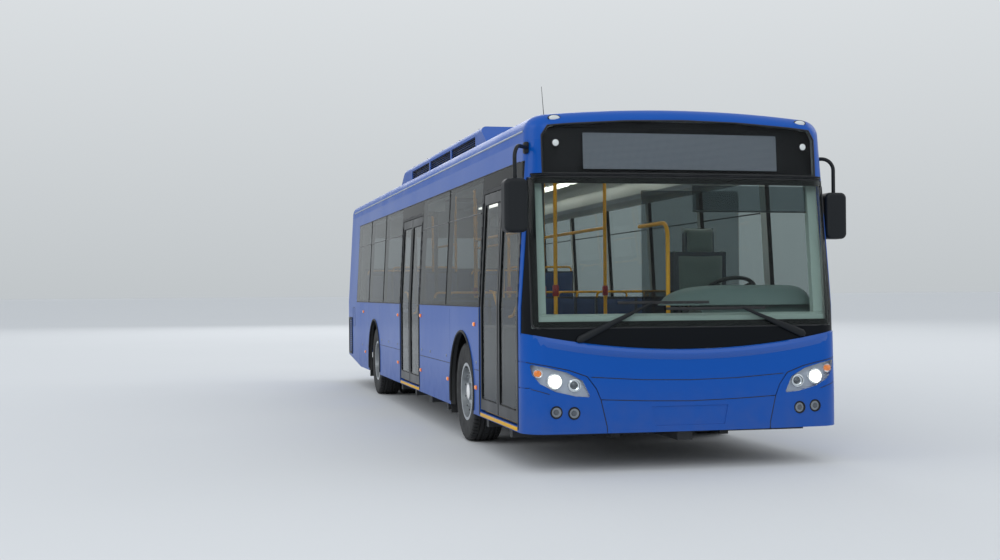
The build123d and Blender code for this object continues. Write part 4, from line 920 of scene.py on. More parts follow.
class BUS_OT_glazing(bpy.types.Operator):
    """Seal the glass and furnish what shows just behind it"""
    bl_idname = "bus.glazing"
    bl_label = "Glazing"

    def execute(self, context):
        """Seals, the display, the black border, the sun blind, the covers and the trim of the panes."""
        seal = settings("bus_trim").seal
        half, heights, radius = SCREEN_EDGE
        black = rubber()
        screen = [on_front(x, z, -0.004) for x, z in rounded_outline((-half, half), heights, radius)]
        display = [on_front(x, z) for x, z in dense(both_halves(DISPLAY_EDGE) + DISPLAY_EDGE[:1], 0.08)[:-1]]
        half, heights, radius = TAIL_GLASS
        tail = [on_rear(x, z) for x, z in rounded_outline((-half, half), heights, radius)]
        pipes("glass_seals", [screen, display, tail], seal, black, closed=True, sides=8)
        self.add_display()
        self.add_frit()
        self.add_blind()
        self.add_pillar_covers()
        self.add_panes_trim(black)
        return {"FINISHED"}

    def add_display(self):
        """The unlit matrix behind the smoked glass, in a black housing."""
        matrix = Forms().sheet(nose_grid((-MATRIX_HALF, MATRIX_HALF), MATRIX_Z, 0.03), (0, 0.01, 0))
        matrix.piece("display_matrix", matrix_face())
        house = Forms().sheet(nose_grid((-1.11, 1.11), (2.235, 2.6), 0.06), (0, 0.02, 0))
        house.sheet(nose_grid((-1.0, 1.0), (2.595, 2.645), 0.05), (0, 0.02, 0))
        house.sheet(nose_grid((-1.11, 1.11), (2.222, 2.236), 0.052), (0, 0.2, 0))
        # Black inside of a housing: matt, it only holds the dark
        house.piece("display_housing", surface("Housing_Black", srgb("0b0c0d"), 0.6))

    def add_frit(self):
        """The black ceramic border fired on the windscreen's inner face."""
        half, (low, high), _ = SCREEN_EDGE
        forms = Forms()
        for x_range, z_range in (((-half + 0.005, -half + FRIT), (low + 0.01, high - 0.01)),
                                 ((half - FRIT, half - 0.005), (low + 0.01, high - 0.01)),
                                 ((-half + FRIT, half - FRIT), (high - FRIT, high - 0.006)),
                                 ((-half + FRIT, half - FRIT), (low + 0.006, low + FRIT))):
            forms.sheet(nose_grid(x_range, z_range, 0.0075, rows=10), (0, 0.001, 0))
        # Ceramic enamel fired on glass: flat black
        forms.piece("windscreen_frit", surface("Frit_Black", srgb("0c0e10"), 0.6, shine=0.1))

    def add_blind(self):
        """The driver's sun blind, a smoked film half drawn behind the windscreen, with a bar at its foot."""
        film = Forms().sheet(nose_grid(BLIND_X, BLIND_Z, 0.05), (0, 0.001, 0))
        # Smoked film: it darkens what lies behind and hardly mirrors
        film.piece("sun_blind", glass("Film_Smoked", srgb("8d989c"), 1.02))
        foot = [on_front(x, BLIND_Z[0]) + Vector((0, 0.05, 0))
                for x in (BLIND_X[0], sum(BLIND_X) / 2, BLIND_X[1])]
        pipes("sun_blind_bar", [foot], 0.006, anodised_black(), sides=10)

    def add_pillar_covers(self):
        """Moulded covers inside the windscreen's pillars and under its lower edge."""
        # Moulded covers: grey green, satin, finely grained
        cover = surface("Cover_Grey_Green", srgb("98a29f"), 0.5, mottle=0.05, grain=0.2, grain_mm=3.0)
        forms = Forms()
        for side in SIDES:
            rings = []
            for step in range(9):
                z = 1.1 + step * 0.138
                edge = on_front(side * 1.19, z)
                rings.append([edge + Vector((side * dx, dy, 0))
                              for dx, dy in ((-0.03, 0.03), (-0.105, 0.04), (-0.115, 0.08), (-0.05, 0.09),
                                             (-0.03, 0.07))])
            forms.rings(rings)
        shelf = [[on_front(x, 1.10) + Vector((0, dy, dz)) for dy, dz in
                  ((0.025, 0.0), (0.03, 0.06), (0.05, 0.075), (0.08, 0.08), (0.11, 0.07), (0.11, 0.0))]
                 for x in [-1.15 + 2.3 * step / 24 for step in range(25)]]
        forms.rings(shelf)
        forms.piece("screen_covers", cover)

    def add_panes_trim(self, black):
        """Rubber between the side panes and along their upper and lower edges."""
        lines = [[on_side(side, back, BAND_SEAL_Z[1]) for back in (0.42, 2.0, 4.0, 6.0, 8.0, 10.4)]
                 for side in SIDES]
        for side, start, end in ((1, 0.42, 10.4), (-1, 1.70, 4.76), (-1, 6.19, 10.4)):
            lines.append([on_side(side, start + (end - start) * step / 5, BAND_SEAL_Z[0])
                          for step in range(6)])
        for side, panes in PANES.items():
            for (_, end), (start, _) in zip(panes, panes[1:]):
                if start - end < 0.1:
                    joint = (start + end) / 2
                    lines.append([beside(side, joint, z, (start - end) / 2 + 0.003)
                                  for z in (1.235, 1.6, 2.0, 2.34)])
        pipes("band_seals", lines, 0.005, black, sides=8)
        bars = [[on_side(side, back, TRANSOM_Z) for back in (start + 0.03, end - 0.03)]
                for side, panes in PANES.items() for start, end in panes if end - start > 1.0]
        pipes("transom_bars", bars, 0.006, anodised_black(), sides=8)


# The headlamps' pocket in the bumper: X, heights and depths behind the skin; fog lamps lie below a height
POCKET_X = (0.75, 1.24)
POCKET_Z = (0.54, 0.82)
POCKET_DEPTHS = (0.012, 0.06)
FOG_TOP = 0.53
# Lamps of the nose: X from the middle, height, radius
HEAD_LAMPS = {"main": (1.048, 0.680, 0.060), "dip": (0.897, 0.650, 0.050), "turn": (1.165, 0.740, 0.034)}
FOG_LAMPS = ((1.039, 0.453, 0.042), (0.905, 0.444, 0.042))
# Markers of the nose: X, height, half sizes; then of the sides: (distance behind the nose, height)
MARKERS = {"roof": (1.0, 2.662, (0.045, 0.022)), "corner": (1.003, 2.470, (0.026, 0.026))}
SIDE_MARKERS = ((1.885, 1.073), (4.70, 1.107), (6.33, 1.090), (9.6, 1.09), (1.82, 0.527), (3.135, 0.524),
                (4.70, 0.523), (6.33, 0.528), (9.4, 0.528))
# Tail lamps: X from the middle, and colours by height
TAIL_LAMP_X = 1.09
TAIL_LAMPS = {0.70: "red", 0.84: "red", 0.98: "amber", 1.12: "white"}


def clear_lens():
    """Clear polycarbonate of a headlamp: thin, with a hard bright coat."""
    return glass("Polycarbonate_Clear", srgb("f4f8fa"))


def lamp_glow(name, hex_value, strength):
    """A lit lamp: its own bright light under a clear face."""
    return surface(name, srgb(hex_value), 0.15, coat=0.6, mottle=0.02, glow=strength)


class BUS_OT_lamps(bpy.types.Operator):
    """Fit the lamps of the nose, the tail and the sides"""
    bl_idname = "bus.lamps"
    bl_label = "Lamps"

    def execute(self, context):
        """Paint the lamp nodes, then add bulbs, bezels and markers."""
        self.bright = chrome()
        self.paint_nodes()
        self.add_head_lamps()
        self.add_tail_lamps()
        self.add_markers()
        return {"FINISHED"}

    def paint_nodes(self):
        """Clear lenses before chrome bowls, and silver pockets."""
        lens = clear_lens()
        paint("front_lamps", lens, lambda centre, normal: not self.in_unit(centre))
        paint("front_lamps", self.bright, lambda centre, normal: self.in_unit(centre))
        # Fog lamps, lens and chrome bowl alike, in one hard, glossy dark grey metal: painted shade for their
        # dim insides
        shaded_fog_lens = surface("Fog_Lens", srgb("7a8087"), 0.12, coat=0.6, metallic=0.6)
        paint("front_lamps", shaded_fog_lens, lambda centre, normal: centre.z < FOG_TOP)
        pocket = lamp_grey()
        paint("front_bumper", pocket, lambda centre, normal: self.in_pocket(centre))

    def in_unit(self, centre):
        """True inside a round lamp behind the lens."""
        skin = on_front(centre.x, centre.z)
        near = any(math.hypot(abs(centre.x) - x, centre.z - z) < r + 0.002 for x, z, r in HEAD_LAMPS.values())
        return near and centre.y > skin.y + 0.009

    def in_pocket(self, centre):
        """True for the floor and sides of the headlamp's pocket."""
        if not (POCKET_X[0] < abs(centre.x) < POCKET_X[1] and POCKET_Z[0] < centre.z < POCKET_Z[1]):
            return False
        skin = on_front(centre.x, centre.z)
        return skin.y + POCKET_DEPTHS[0] < centre.y < skin.y + POCKET_DEPTHS[1]

    def lamp_place(self, side, x, z, depth):
        """A placing matrix on the nose that looks straight ahead, at a depth behind the skin."""
        skin = on_front(side * x, z)
        return facing(skin + Vector((0, depth, 0)), (0, -1, 0))

    def add_head_lamps(self):
        """On each side a lit main lamp, one with a dark lens, an amber turn lamp and two fog lamps."""
        lit = lamp_glow("Lamp_Lit", "fff6df", 9.0)
        amber = lamp_colour("Acrylic_Amber", "dd720a", 0.35)
        bulbs, rims, ambers, dark, ringed = Forms(), Forms(), Forms(), Forms(), Forms()
        for side in SIDES:
            for lamp in ("main", "dip"):
                x, z, r = HEAD_LAMPS[lamp]
                rims.lathe([(r - 0.012, 0.0), (r - 0.010, 0.008), (r - 0.001, 0.006), (r, -0.004),
                            (r - 0.012, -0.004)], self.lamp_place(side, x, z, 0.014), 40, True)
            x, z, _ = HEAD_LAMPS["main"]
            bulbs.lathe([(0.0, 0.016), (0.022, 0.012), (0.038, 0.003), (0.041, -0.004)],
                        self.lamp_place(side, x, z, 0.026), 32)
            x, z, _ = HEAD_LAMPS["dip"]
            ringed.lathe([(0.0, 0.012), (0.016, 0.009), (0.028, 0.0), (0.03, -0.008)],
                         self.lamp_place(side, x, z, 0.026), 32)
            x, z, r = HEAD_LAMPS["turn"]
            ambers.lathe([(0.0, 0.006), (0.02, 0.004), (r - 0.003, -0.002), (r - 0.003, -0.010)],
                         self.lamp_place(side, x, z, 0.022), 32)
            for x, z, r in FOG_LAMPS:
                place = self.lamp_place(side, x, z, -0.001)
                dark.lathe([(r - 0.006, 0.002), (r + 0.004, 0.004), (r + 0.006, 0.001), (r + 0.003, -0.006),
                            (r - 0.006, -0.006)], place, 40, True)
                ringed.lathe([(0.0, 0.003), (0.018, 0.002), (0.022, -0.003)], place, 24)
        bulbs.piece("headlamp_lit", lit)
        rims.piece("headlamp_rims", self.bright)
        ambers.piece("turn_lamps", amber)
        dark.piece("fog_lamp_rims", abs_black())
        # Projector lens: a dark ball of glass with a sharp highlight
        ringed.piece("lamp_projectors",
                     surface("Projector_Lens", srgb("4a5058"), 0.05, coat=1.0, metallic=0.3))

    def add_tail_lamps(self):
        """Rings round the tail lamps, and lenses of amber and white over the red node's upper ones."""
        rings, tinted = Forms(), {"amber": Forms(), "white": Forms(), "red": Forms()}
        for side in SIDES:
            for z, shade in TAIL_LAMPS.items():
                place = facing(on_rear(side * TAIL_LAMP_X, z), (0, 1, 0))
                rings.lathe([(0.052, 0.001), (0.054, 0.005), (0.061, 0.004), (0.064, -0.003),
                             (0.052, -0.003)], place, 40, True)
                tinted[shade].lathe([(0.0, 0.010), (0.03, 0.008), (0.048, 0.003), (0.053, -0.003)], place, 32)
        rings.piece("tail_lamp_rings", abs_black())
        tinted["red"].piece("tail_lenses_red", lamp_colour("Acrylic_Red_Lens", "a40f12", 0.25))
        tinted["amber"].piece("tail_lenses_amber", lamp_colour("Acrylic_Amber_Tail", "d97a18", 0.2))
        tinted["white"].piece("tail_lenses_white", lamp_colour("Acrylic_White_Tail", "dfe3e6", 0.1))

    def add_markers(self):
        """Small lamps of the roof's edge, the black corner and the sides."""
        white, amber, rims = Forms(), Forms(), Forms()
        for side in SIDES:
            for x, z, (wide, high) in MARKERS.values():
                skin = on_front(side * x, z)
                place = facing(skin, (0, -1, 0)) @ Matrix.Diagonal((wide, high, 1, 1))
                white.lathe([(0.0, 0.012), (0.6, 0.010), (0.95, 0.005), (1.0, -0.004)], place, 32)
                rims.lathe([(0.98, 0.006), (1.12, 0.004), (1.16, -0.004), (0.98, -0.004)], place, 32, True)
        for back, z in SIDE_MARKERS:
            for side in SIDES:
                skin = on_side(side, back, z)
                amber.block((-0.033, -0.018, -0.004), (0.033, 0.018, 0.012), 0.007,
                            facing(skin, (side, 0, 0)))
        rims.piece("marker_rims", abs_black())
        white.piece("marker_lamps", lamp_colour("Acrylic_White", "c9cece", 0.05))
        amber.piece("side_markers", lamp_colour("Acrylic_Amber_Side", "e0771a", 0.3))


# Doorways: front and rear jambs behind the nose
DOORWAYS = {"front": (0.300, 1.652), "middle": (4.813, 6.140)}
# Heights of the door leaves
LEAF_Z = (0.356, 2.178)
# Grab rails of the door leaves, as (distance behind the nose, height)
GRAB_RAILS = {"front_door_leaf_aft": ((1.396, 1.359), (1.085, 1.125)),
              "front_door_leaf_fore": ((0.397, 1.322), (0.681, 1.156)),
              "middle_door_leaf_aft": ((6.00, 1.36), (5.60, 1.12)),
              "middle_door_leaf_fore": ((4.95, 1.36), (5.35, 1.12))}
# How far beside a joint's middle its skin is taken
JOINT_GAP = 0.0045
# Heights of the gutters, and places of the flap locks
GUTTER_Z = 2.575
LOCK_BACKS = (1.80, 3.2, 4.1, 4.62, 6.35, 7.1, 7.75, 9.2, 9.75)
# The tail grilles: middle behind the nose, slats and their pitch
GRILLE_BACK = 11.15
GRILLE_SLATS = 16
GRILLE_PITCH = 0.032
# Arch lips: X of their middle line, first angle, whole angle in degrees and steps
LIP_X = 1.276
LIP_START = -13
LIP_SWEEP = 206
LIP_STEPS = 40


def nose_joint(points, side):
    """A bead's path in a joint of the nose, taken from the skin beside the joint."""
    upright = abs(points[0][0] - points[-1][0]) < 0.1
    gap = Vector((side * JOINT_GAP, 0, 0)) if upright else Vector((0, 0, JOINT_GAP))
    return [on_front(side * x + gap.x, z + gap.z) - gap + Vector((0, 0.0015, 0))
            for x, z in dense(points, 0.05)]


class BUS_OT_side_trim(bpy.types.Operator):
    """Trim the skin: joints, arch lips, gutter, sills and flap locks"""
    bl_idname = "bus.side_trim"
    bl_label = "Side trim"

    def execute(self, context):
        """Arch lips, gutters, joint beads, painted crease shade lines, the nose lip, sills, flap locks and
        the tail grilles.
        """
        trim = settings("bus_trim")
        lips, gutters = [], []
        for side in SIDES:
            for back in AXLE_BACKS:
                centre = FRONT_Y + back
                lips.append([(side * LIP_X, centre - ARCH_RADIUS * math.cos(a),
                              HUB_Z + ARCH_RADIUS * math.sin(a))
                             for a in (math.radians(LIP_START + LIP_SWEEP * step / LIP_STEPS)
                                       for step in range(LIP_STEPS + 1))])
            gutters.append([on_side(side, back, GUTTER_Z)
                            for back in [0.35 + 0.72 * step for step in range(16)]])
        pipes("arch_lips", lips, trim.arch_lip, rubber(), sides=10)
        # Weathered aluminium strip: soft grey
        pipes("gutters", gutters, 0.008, surface("Gutter_Grey", srgb("9aa4ae"), 0.35, metallic=0.3), sides=8)
        joints = [nose_joint(points, side) for points in NOSE_JOINTS for side in SIDES]
        for side in SIDES:
            for (start, z), (end, _) in SIDE_JOINTS:
                joints.append([on_side(side, back, z + JOINT_GAP) - Vector((side * 0.0015, 0, JOINT_GAP))
                               for back, _ in dense([(start, 0), (end, 0)], 0.4)])
        # Beads on the corner creases, which are no joints: painted shade lines
        joints += [[on_front(side * x, z) for x, z in dense(CORNER_CREASE_SHADE_LINE, 0.05)] for side in SIDES]
        pipes("joint_beads", joints, 0.0032, rubber(), sides=6)
        self.add_nose_lip()
        self.add_sills()
        self.add_locks()
        self.add_grille()
        return {"FINISHED"}

    def add_nose_lip(self):
        """The raised blue edge under the nose's black zone, which catches the light from above."""
        rings = []
        for step in range(49):
            x = -1.2 + 2.4 * step / 48
            z = BLACK_LOW_MIDDLE + BLACK_DIP * x * x
            proud = 0.022 * (1 - (x / 1.2) ** 4)
            skin = on_front(x, z - 0.03)
            rings.append([(x, skin.y + dy, z + dz)
                          for dy, dz in ((0.004, 0.002), (-0.001, 0.001), (-proud, -0.028), (-proud, -0.034),
                                         (-proud * 0.3, -0.07), (0.004, -0.085))])
        # The enamel on the raised edge, rubbed bright: a clear highlight
        polished = surface("Enamel_Lip", settings("bus_paint").body, 0.3, coat=0.8, mottle=0.03,
                           mottle_mm=1500.0, shine=0.4)
        Forms().rings(rings).piece("nose_lip", polished, crease=50.0)

    def add_sills(self):
        """Yellow treads at the doorways' sills, ribbed across."""
        forms = Forms()
        for start, end in DOORWAYS.values():
            low, high = FRONT_Y + start + 0.01, FRONT_Y + end - 0.01
            forms.block((-1.279, low, 0.296), (-1.268, high, 0.325), 0.003)
            for step in range(5):
                x = -1.222 + step * 0.012
                forms.block((x - 0.003, low, 0.332), (x + 0.003, high, 0.336), 0.001)
        # Cast tread strip: yellow, scuffed by shoes
        forms.piece("door_sills", surface("Tread_Yellow", srgb("d9a514"), 0.5, mottle=0.12, mottle_mm=40.0))

    def add_locks(self):
        """Round locks on the skirt flaps, and a fuel flap."""
        locks = Forms()
        for side in SIDES:
            for back in LOCK_BACKS:
                place = facing(on_side(side, back, 0.745 if back < 9 else 0.62), (side, 0, 0))
                locks.lathe([(0.0, 0.002), (0.008, 0.002), (0.009, 0.004), (0.013, 0.004), (0.014, -0.002)],
                            place, 20)
        # Zinc-coated steel: bright and softly glossy
        locks.piece("flap_locks", surface("Steel_Zinc", srgb("8f9499"), 0.3, metallic=0.9, mottle=0.1))
        lines = []
        for side, back, z, wide, high in ((1, 7.05, 0.95, 0.13, 0.12), (-1, 10.75, 1.0, 0.12, 0.14)):
            lines.append([on_side(side, back + u, z + v, 0.0005)
                          for u, v in rounded_outline((-wide, wide), (-high, high), 0.03)])
        pipes("flap_outlines", lines, 0.0025, rubber(), closed=True, sides=6)

    def add_grille(self):
        """An upright louvred grille near the tail on both sides."""
        frame_bars, rows = Forms(), []
        slat = Forms().block((-0.16, -0.008, 0.0), (0.16, 0.008, 0.009), 0.002,
                             Matrix.Rotation(math.radians(28), 4, "X"))
        for side in SIDES:
            lowest = facing(on_side(side, GRILLE_BACK, 0.47), (side, 0, 0))
            rows.append(copied(slat, GRILLE_SLATS, abs_black(), step=(0, GRILLE_PITCH, 0), place=lowest))
            for back in (10.97, 11.33):
                skin = on_side(side, back, 0.71)
                frame_bars.block((-0.012, -0.265, -0.004), (0.012, 0.265, 0.011), 0.003,
                                 facing(skin, (side, 0, 0)))
            for z in (0.445, 0.975):
                skin = on_side(side, GRILLE_BACK, z)
                frame_bars.block((-0.19, -0.012, -0.004), (0.19, 0.012, 0.011), 0.003,
                                 facing(skin, (side, 0, 0)))
        finish_piece("side_grille_slats", joined(rows), abs_black())
        frame_bars.piece("side_grille_frames", abs_black())


def leaf_box(name):
    """Where a door leaf starts and ends behind the nose."""
    low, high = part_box(name)
    return low.y - FRONT_Y, high.y - FRONT_Y


class BUS_OT_doors(bpy.types.Operator):
    """Dress the door leaves"""
    bl_idname = "bus.doors"
    bl_label = "Doors"

    def execute(self, context):
        """Edge rubber, glass seal and grab rail of each leaf, and strips beside the doorways."""
        for place in DOORWAYS:
            for end in ("fore", "aft"):
                self.dress_leaf(f"{place}_door_leaf_{end}")
        self.add_frames()
        return {"FINISHED"}

    def dress_leaf(self, leaf):
        """One leaf's rubber, glass seal and grab rail, riding on its body."""
        body = f"{leaf}_body"
        start, end = leaf_box(leaf)
        meeting = end if leaf.endswith("fore") else start
        way = 1 if leaf.endswith("fore") else -1
        edge = [on_side(-1, meeting - way * 0.004, z) + Vector((0.018, way * 0.012, 0))
                for z in (LEAF_Z[0] + 0.01, 1.0, 1.226, 1.7, LEAF_Z[1] - 0.01)]
        pipes(f"{leaf}_rubber", [edge], 0.0095, rubber(), body, sides=12)
        outline = rounded_outline((start + 0.045, end - 0.045), (LEAF_Z[0] + 0.09, LEAF_Z[1] - 0.09), 0.02)
        seal = [on_side(-1, back, z) + Vector((0.0015, 0, 0)) for back, z in outline]
        pipes(f"{leaf}_seal", [seal], 0.0045, rubber(), body, closed=True, sides=6)
        self.add_rail(leaf, body)

    def add_rail(self, leaf, body):
        """The slanted grab rail inside the glass, on two feet."""
        rail = [on_side(-1, back, z) + Vector((0.05, 0, 0)) for back, z in GRAB_RAILS[leaf]]
        feet = [end - Vector((0.032, 0, 0)) for end in rail]
        pipes(f"{leaf}_rail", [[feet[0], *rail, feet[1]]], 0.011, powder_yellow(), body, bend=0.03, sides=12)

    def add_frames(self):
        """Black strips up both sides of each doorway."""
        forms = Forms()
        for start, end in DOORWAYS.values():
            for back, way in ((start, 1), (end, -1)):
                for z in (0.36 + 0.1 * step for step in range(18)):
                    skin = on_side(-1, back - way * 0.02, z)
                    forms.block((-0.014, -0.0505, -0.004), (0.014, 0.0505, 0.004), 0.0015,
                                facing(skin, (-1, 0, 0)))
        forms.piece("door_frames", abs_black())


# Half section of the tyre from its tread's middle to its bead: offset from the middle, radius
TYRE_PROFILE = [(0.000, 0.4475), (0.012, 0.4475), (0.030, 0.4473), (0.034, 0.4473), (0.050, 0.4470),
                (0.070, 0.4465), (0.074, 0.4464), (0.090, 0.4455), (0.108, 0.4440), (0.120, 0.4415),
                (0.128, 0.4370), (0.1335, 0.4290), (0.1360, 0.4180), (0.1385, 0.4020), (0.1405, 0.3850),
                (0.1415, 0.3650), (0.1412, 0.3450), (0.1395, 0.3250), (0.1355, 0.3050), (0.1315, 0.2900),
                (0.1290, 0.2780), (0.1275, 0.2680), (0.1240, 0.2640), (0.1180, 0.2560), (0.1110, 0.2490)]
# Angles within one pitch of the tread: where a block starts and ends, as shares of the pitch
PITCH_ANGLES = (0.0, 0.06, 0.72, 0.78)
# Grooves round the tread, as ranges of the offset from its middle
GROOVE_BANDS = ((0.030, 0.040), (0.070, 0.080))


def groove_depth(offset, radius, in_gap):
    """How deep the tread is cut at a place of the section, in a block or in the gap between two."""
    depth = settings("bus_tyres").groove
    if any(low <= abs(offset) <= high for low, high in GROOVE_BANDS):
        return depth
    if in_gap and abs(offset) > 0.082 and radius > 0.425:
        return depth * 0.85
    if in_gap and abs(offset) < 0.030:
        return depth * 0.35
    return 0.0


def tyre_forms():
    """A treaded tyre about the X axis: ribs, shoulder blocks and a moulded side wall."""
    half = []
    for (offset, radius), (next_offset, next_radius) in zip(TYRE_PROFILE, TYRE_PROFILE[1:]):
        half.append((offset, radius))
        if abs(next_offset - offset) > 0.015:
            half.append(((offset + next_offset) / 2, (radius + next_radius) / 2))
    half.append(TYRE_PROFILE[-1])
    section = [(-offset, radius) for offset, radius in reversed(half[1:])] + half
    inner = [(offset * 0.9, settings("bus_tyres").bead + 0.001) for offset in (0.11, -0.11)]
    rings = []
    pitches = settings("bus_tyres").pitches
    for pitch in range(pitches):
        for number, share in enumerate(PITCH_ANGLES):
            angle = 2 * math.pi * (pitch + share) / pitches
            in_gap = number in (0, 3)
            ring = []
            for offset, radius in section:
                lean = offset * 0.35 if abs(offset) < 0.03 else 0.0
                depth = groove_depth(offset, radius, in_gap)
                ring.append((offset, (radius - depth) * math.sin(angle + lean),
                             (radius - depth) * math.cos(angle + lean)))
            for offset, radius in inner:
                ring.append((offset, radius * math.sin(angle), radius * math.cos(angle)))
            rings.append(ring)
    return Forms().rings(rings, closed=True)


# Bodies of the wheels: the side, the axle, and the nodes that the new tyres replace
WHEELS = {"front_wheel_left": (1, 0, ("front_tyre_left",)),
          "front_wheel_right": (-1, 0, ("front_tyre_right",)),
          "rear_wheels_left": (1, 1, ("rear_tyres_left",)),
          "rear_wheels_right": (-1, 1, ("rear_tyres_right",))}
# X of the tyres' middles, the outer one first
TYRE_X = (1.1035, 0.7885)
# By axle: X where the studs start, and how far out of it the hub cap lies
STUD_X = (1.1655 + 0.034, 0.946 + 0.016 + 0.034)
CAP_OUT = (0.018, 0.112)
STUDS = 10
STUD_CIRCLE = 0.1675


class BUS_OT_wheels(bpy.types.Operator):
    """Put treaded tyres and small fittings on the wheels"""
    bl_idname = "bus.wheels"
    bl_label = "Wheels"

    def execute(self, context):
        """Replace the plain tyres, then add studs, hub caps and valves."""
        forms = tyre_forms()
        material = tyre_rubber()
        for body, (side, axle, nodes) in WHEELS.items():
            centre = Vector((0, FRONT_Y + AXLE_BACKS[axle], HUB_Z))
            meshes = []
            for tyre_x in TYRE_X[:axle + 1]:
                mesh = forms.mesh("tyre")
                mesh.transform(Matrix.Translation(centre + Vector((side * tyre_x, 0, 0))))
                mesh.materials.append(material)
                meshes.append(mesh)
            tyre = finish_piece(f"{body}_tyres", joined(meshes), material, body, crease=28.0)
            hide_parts(*nodes)
            self.add_fittings(body, side, axle, centre)
        return {"FINISHED"}

    def add_fittings(self, body, side, axle, centre):
        """Studs through the nuts, a hub cap, and the valve."""
        disc = STUD_X[axle]
        way = Vector((side, 0, 0))
        # Rolled steel, dulled by the road: patchy grey metal
        steel = surface("Steel_Studs", srgb("6f7376"), 0.4, metallic=0.85, mottle=0.2, mottle_mm=20.0)
        stud = Forms().lathe([(0.0, 0.012), (0.007, 0.012), (0.009, 0.010), (0.009, -0.004)], Matrix(), 14)
        studs = copied(stud, STUDS, steel, turn=math.tau / STUDS, reach=STUD_CIRCLE,
                       place=facing(centre + way * disc, way, (0, 1, 0)))
        cap = Forms().lathe([(0.0, 0.006), (0.03, 0.005), (0.036, 0.001), (0.06, 0.0), (0.066, -0.004),
                             (0.066, -0.010)], Matrix(), 40)
        hub = centre + way * (disc + CAP_OUT[axle])
        caps = copied(cap, 1, steel, place=facing(hub, way, (0, 1, 0)))
        finish_piece(f"{body}_studs", joined([studs, caps]), steel, body)
        valve = Forms()
        foot = centre + Vector((side * (disc - 0.02), 0.06, 0.218))
        valve.lathe([(0.0, 0.05), (0.004, 0.05), (0.0045, 0.0), (0.004, -0.01)],
                    facing(foot, way, (0, 1, 0)), 12)
        valve.piece(f"{body}_valve", rubber(), body)


# The roof unit: intakes as places behind the nose, slats in each, and fans in a row on each side
POD_BAYS = ((3.56, 4.82), (4.90, 6.16), (6.24, 7.50))
POD_SLATS = 5
POD_FANS = 4
POD_FAN_STEP = (0, 1.0, 0)


class BUS_OT_roof(bpy.types.Operator):
    """Fit out the roof"""
    bl_idname = "bus.roof"
    bl_label = "Roof"

    def execute(self, context):
        """Hatches, the whip aerial, and slats, fans and seams on the roof unit."""
        self.add_hatches()
        self.add_aerial()
        self.add_pod_fittings()
        return {"FINISHED"}

    def add_hatches(self):
        """Two hinged escape hatches with rubber lips."""
        lids, lips = Forms(), Forms()
        for back in (2.05, 9.6):
            top = on_roof(0.0, back).z
            middle = FRONT_Y + back
            lids.block((-0.38, middle - 0.36, top - 0.045), (0.38, middle + 0.36, top + 0.045), 0.03)
            lids.block((-0.30, middle - 0.28, top + 0.035), (0.30, middle + 0.28, top + 0.055), 0.015)
            lips.block((-0.41, middle - 0.39, top - 0.05), (0.41, middle + 0.39, top + 0.012), 0.008)
        # Moulded polyester of the hatches: grey, satin, weathered in clouds
        lids.piece("roof_hatches", surface("Hatch_Moulding", srgb("9aa2a8"), 0.45, mottle=0.08))
        lips.piece("roof_hatch_lips", rubber())

    def add_aerial(self):
        """A thin whip on a rubber foot at the front right of the roof."""
        foot = on_roof(-0.93, 0.75)
        forms = Forms()
        forms.lathe([(0.0, 0.03), (0.010, 0.028), (0.016, 0.015), (0.028, 0.0), (0.028, -0.008)],
                    facing(foot, (0, 0, 1), (0, 1, 0)), 24)
        forms.lathe([(0.0, 0.30), (0.0018, 0.298), (0.0032, 0.02), (0.0032, 0.0)],
                    facing(foot, (0, 0.28, 1), (0, 1, 0)), 10)
        forms.piece("aerial", rubber())

    def add_pod_fittings(self):
        """Slats in the side intakes, fans under round guards, and seams."""
        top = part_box("roof_pod")[1].z
        # Painted mesh and wells: matt, nearly black
        dark = surface("Mesh_Black", srgb("0d0f11"), 0.6)
        guard = Forms()
        for radius in [0.06 + 0.03 * step for step in range(9)]:
            guard.lathe([(radius, 0.012), (radius + 0.004, 0.012), (radius + 0.004, 0.008), (radius, 0.008)],
                        Matrix(), 40, True)
        for spoke in range(4):
            guard.block((-0.31, -0.004, 0.002), (0.31, 0.004, 0.012), 0.001,
                        Matrix.Rotation(math.radians(45 * spoke), 4, "Z"))
        well = Forms().lathe([(0.0, 0.004), (0.30, 0.004), (0.315, 0.006), (0.33, 0.004), (0.33, -0.004)],
                             Matrix(), 48)
        slats, guards, wells = [], [], []
        for side in SIDES:
            for start, end in POD_BAYS:
                along = FRONT_Y + start + 0.005, FRONT_Y + end - 0.005
                slat = Forms().block(*slab(side * 0.885, 0.010, along, (2.804, 2.810)), 0.001)
                slats.append(copied(slat, POD_SLATS, dark, step=(0, 0, 0.022)))
            first = Matrix.Translation((side * 0.42, FRONT_Y + 4.1, top))
            guards.append(copied(guard, POD_FANS, abs_black(), step=POD_FAN_STEP, place=first))
            wells.append(copied(well, POD_FANS, dark, step=POD_FAN_STEP, place=first))
        finish_piece("pod_slats", joined(slats), dark)
        finish_piece("pod_fan_guards", joined(guards), abs_black())
        finish_piece("pod_fan_wells", joined(wells), dark)
        seams = [[(x, FRONT_Y + back, top + 0.0005) for x in (-0.86, 0.86)]
                 for back in (3.6, 4.6, 5.6, 6.6, 7.6)]
        pipes("pod_seams", seams, 0.003, rubber(), sides=6)


# Louvres of the engine door: height of the lowest, rows and their pitch
LOUVRE_Z = 0.74
LOUVRES = 11
LOUVRE_PITCH = 0.036


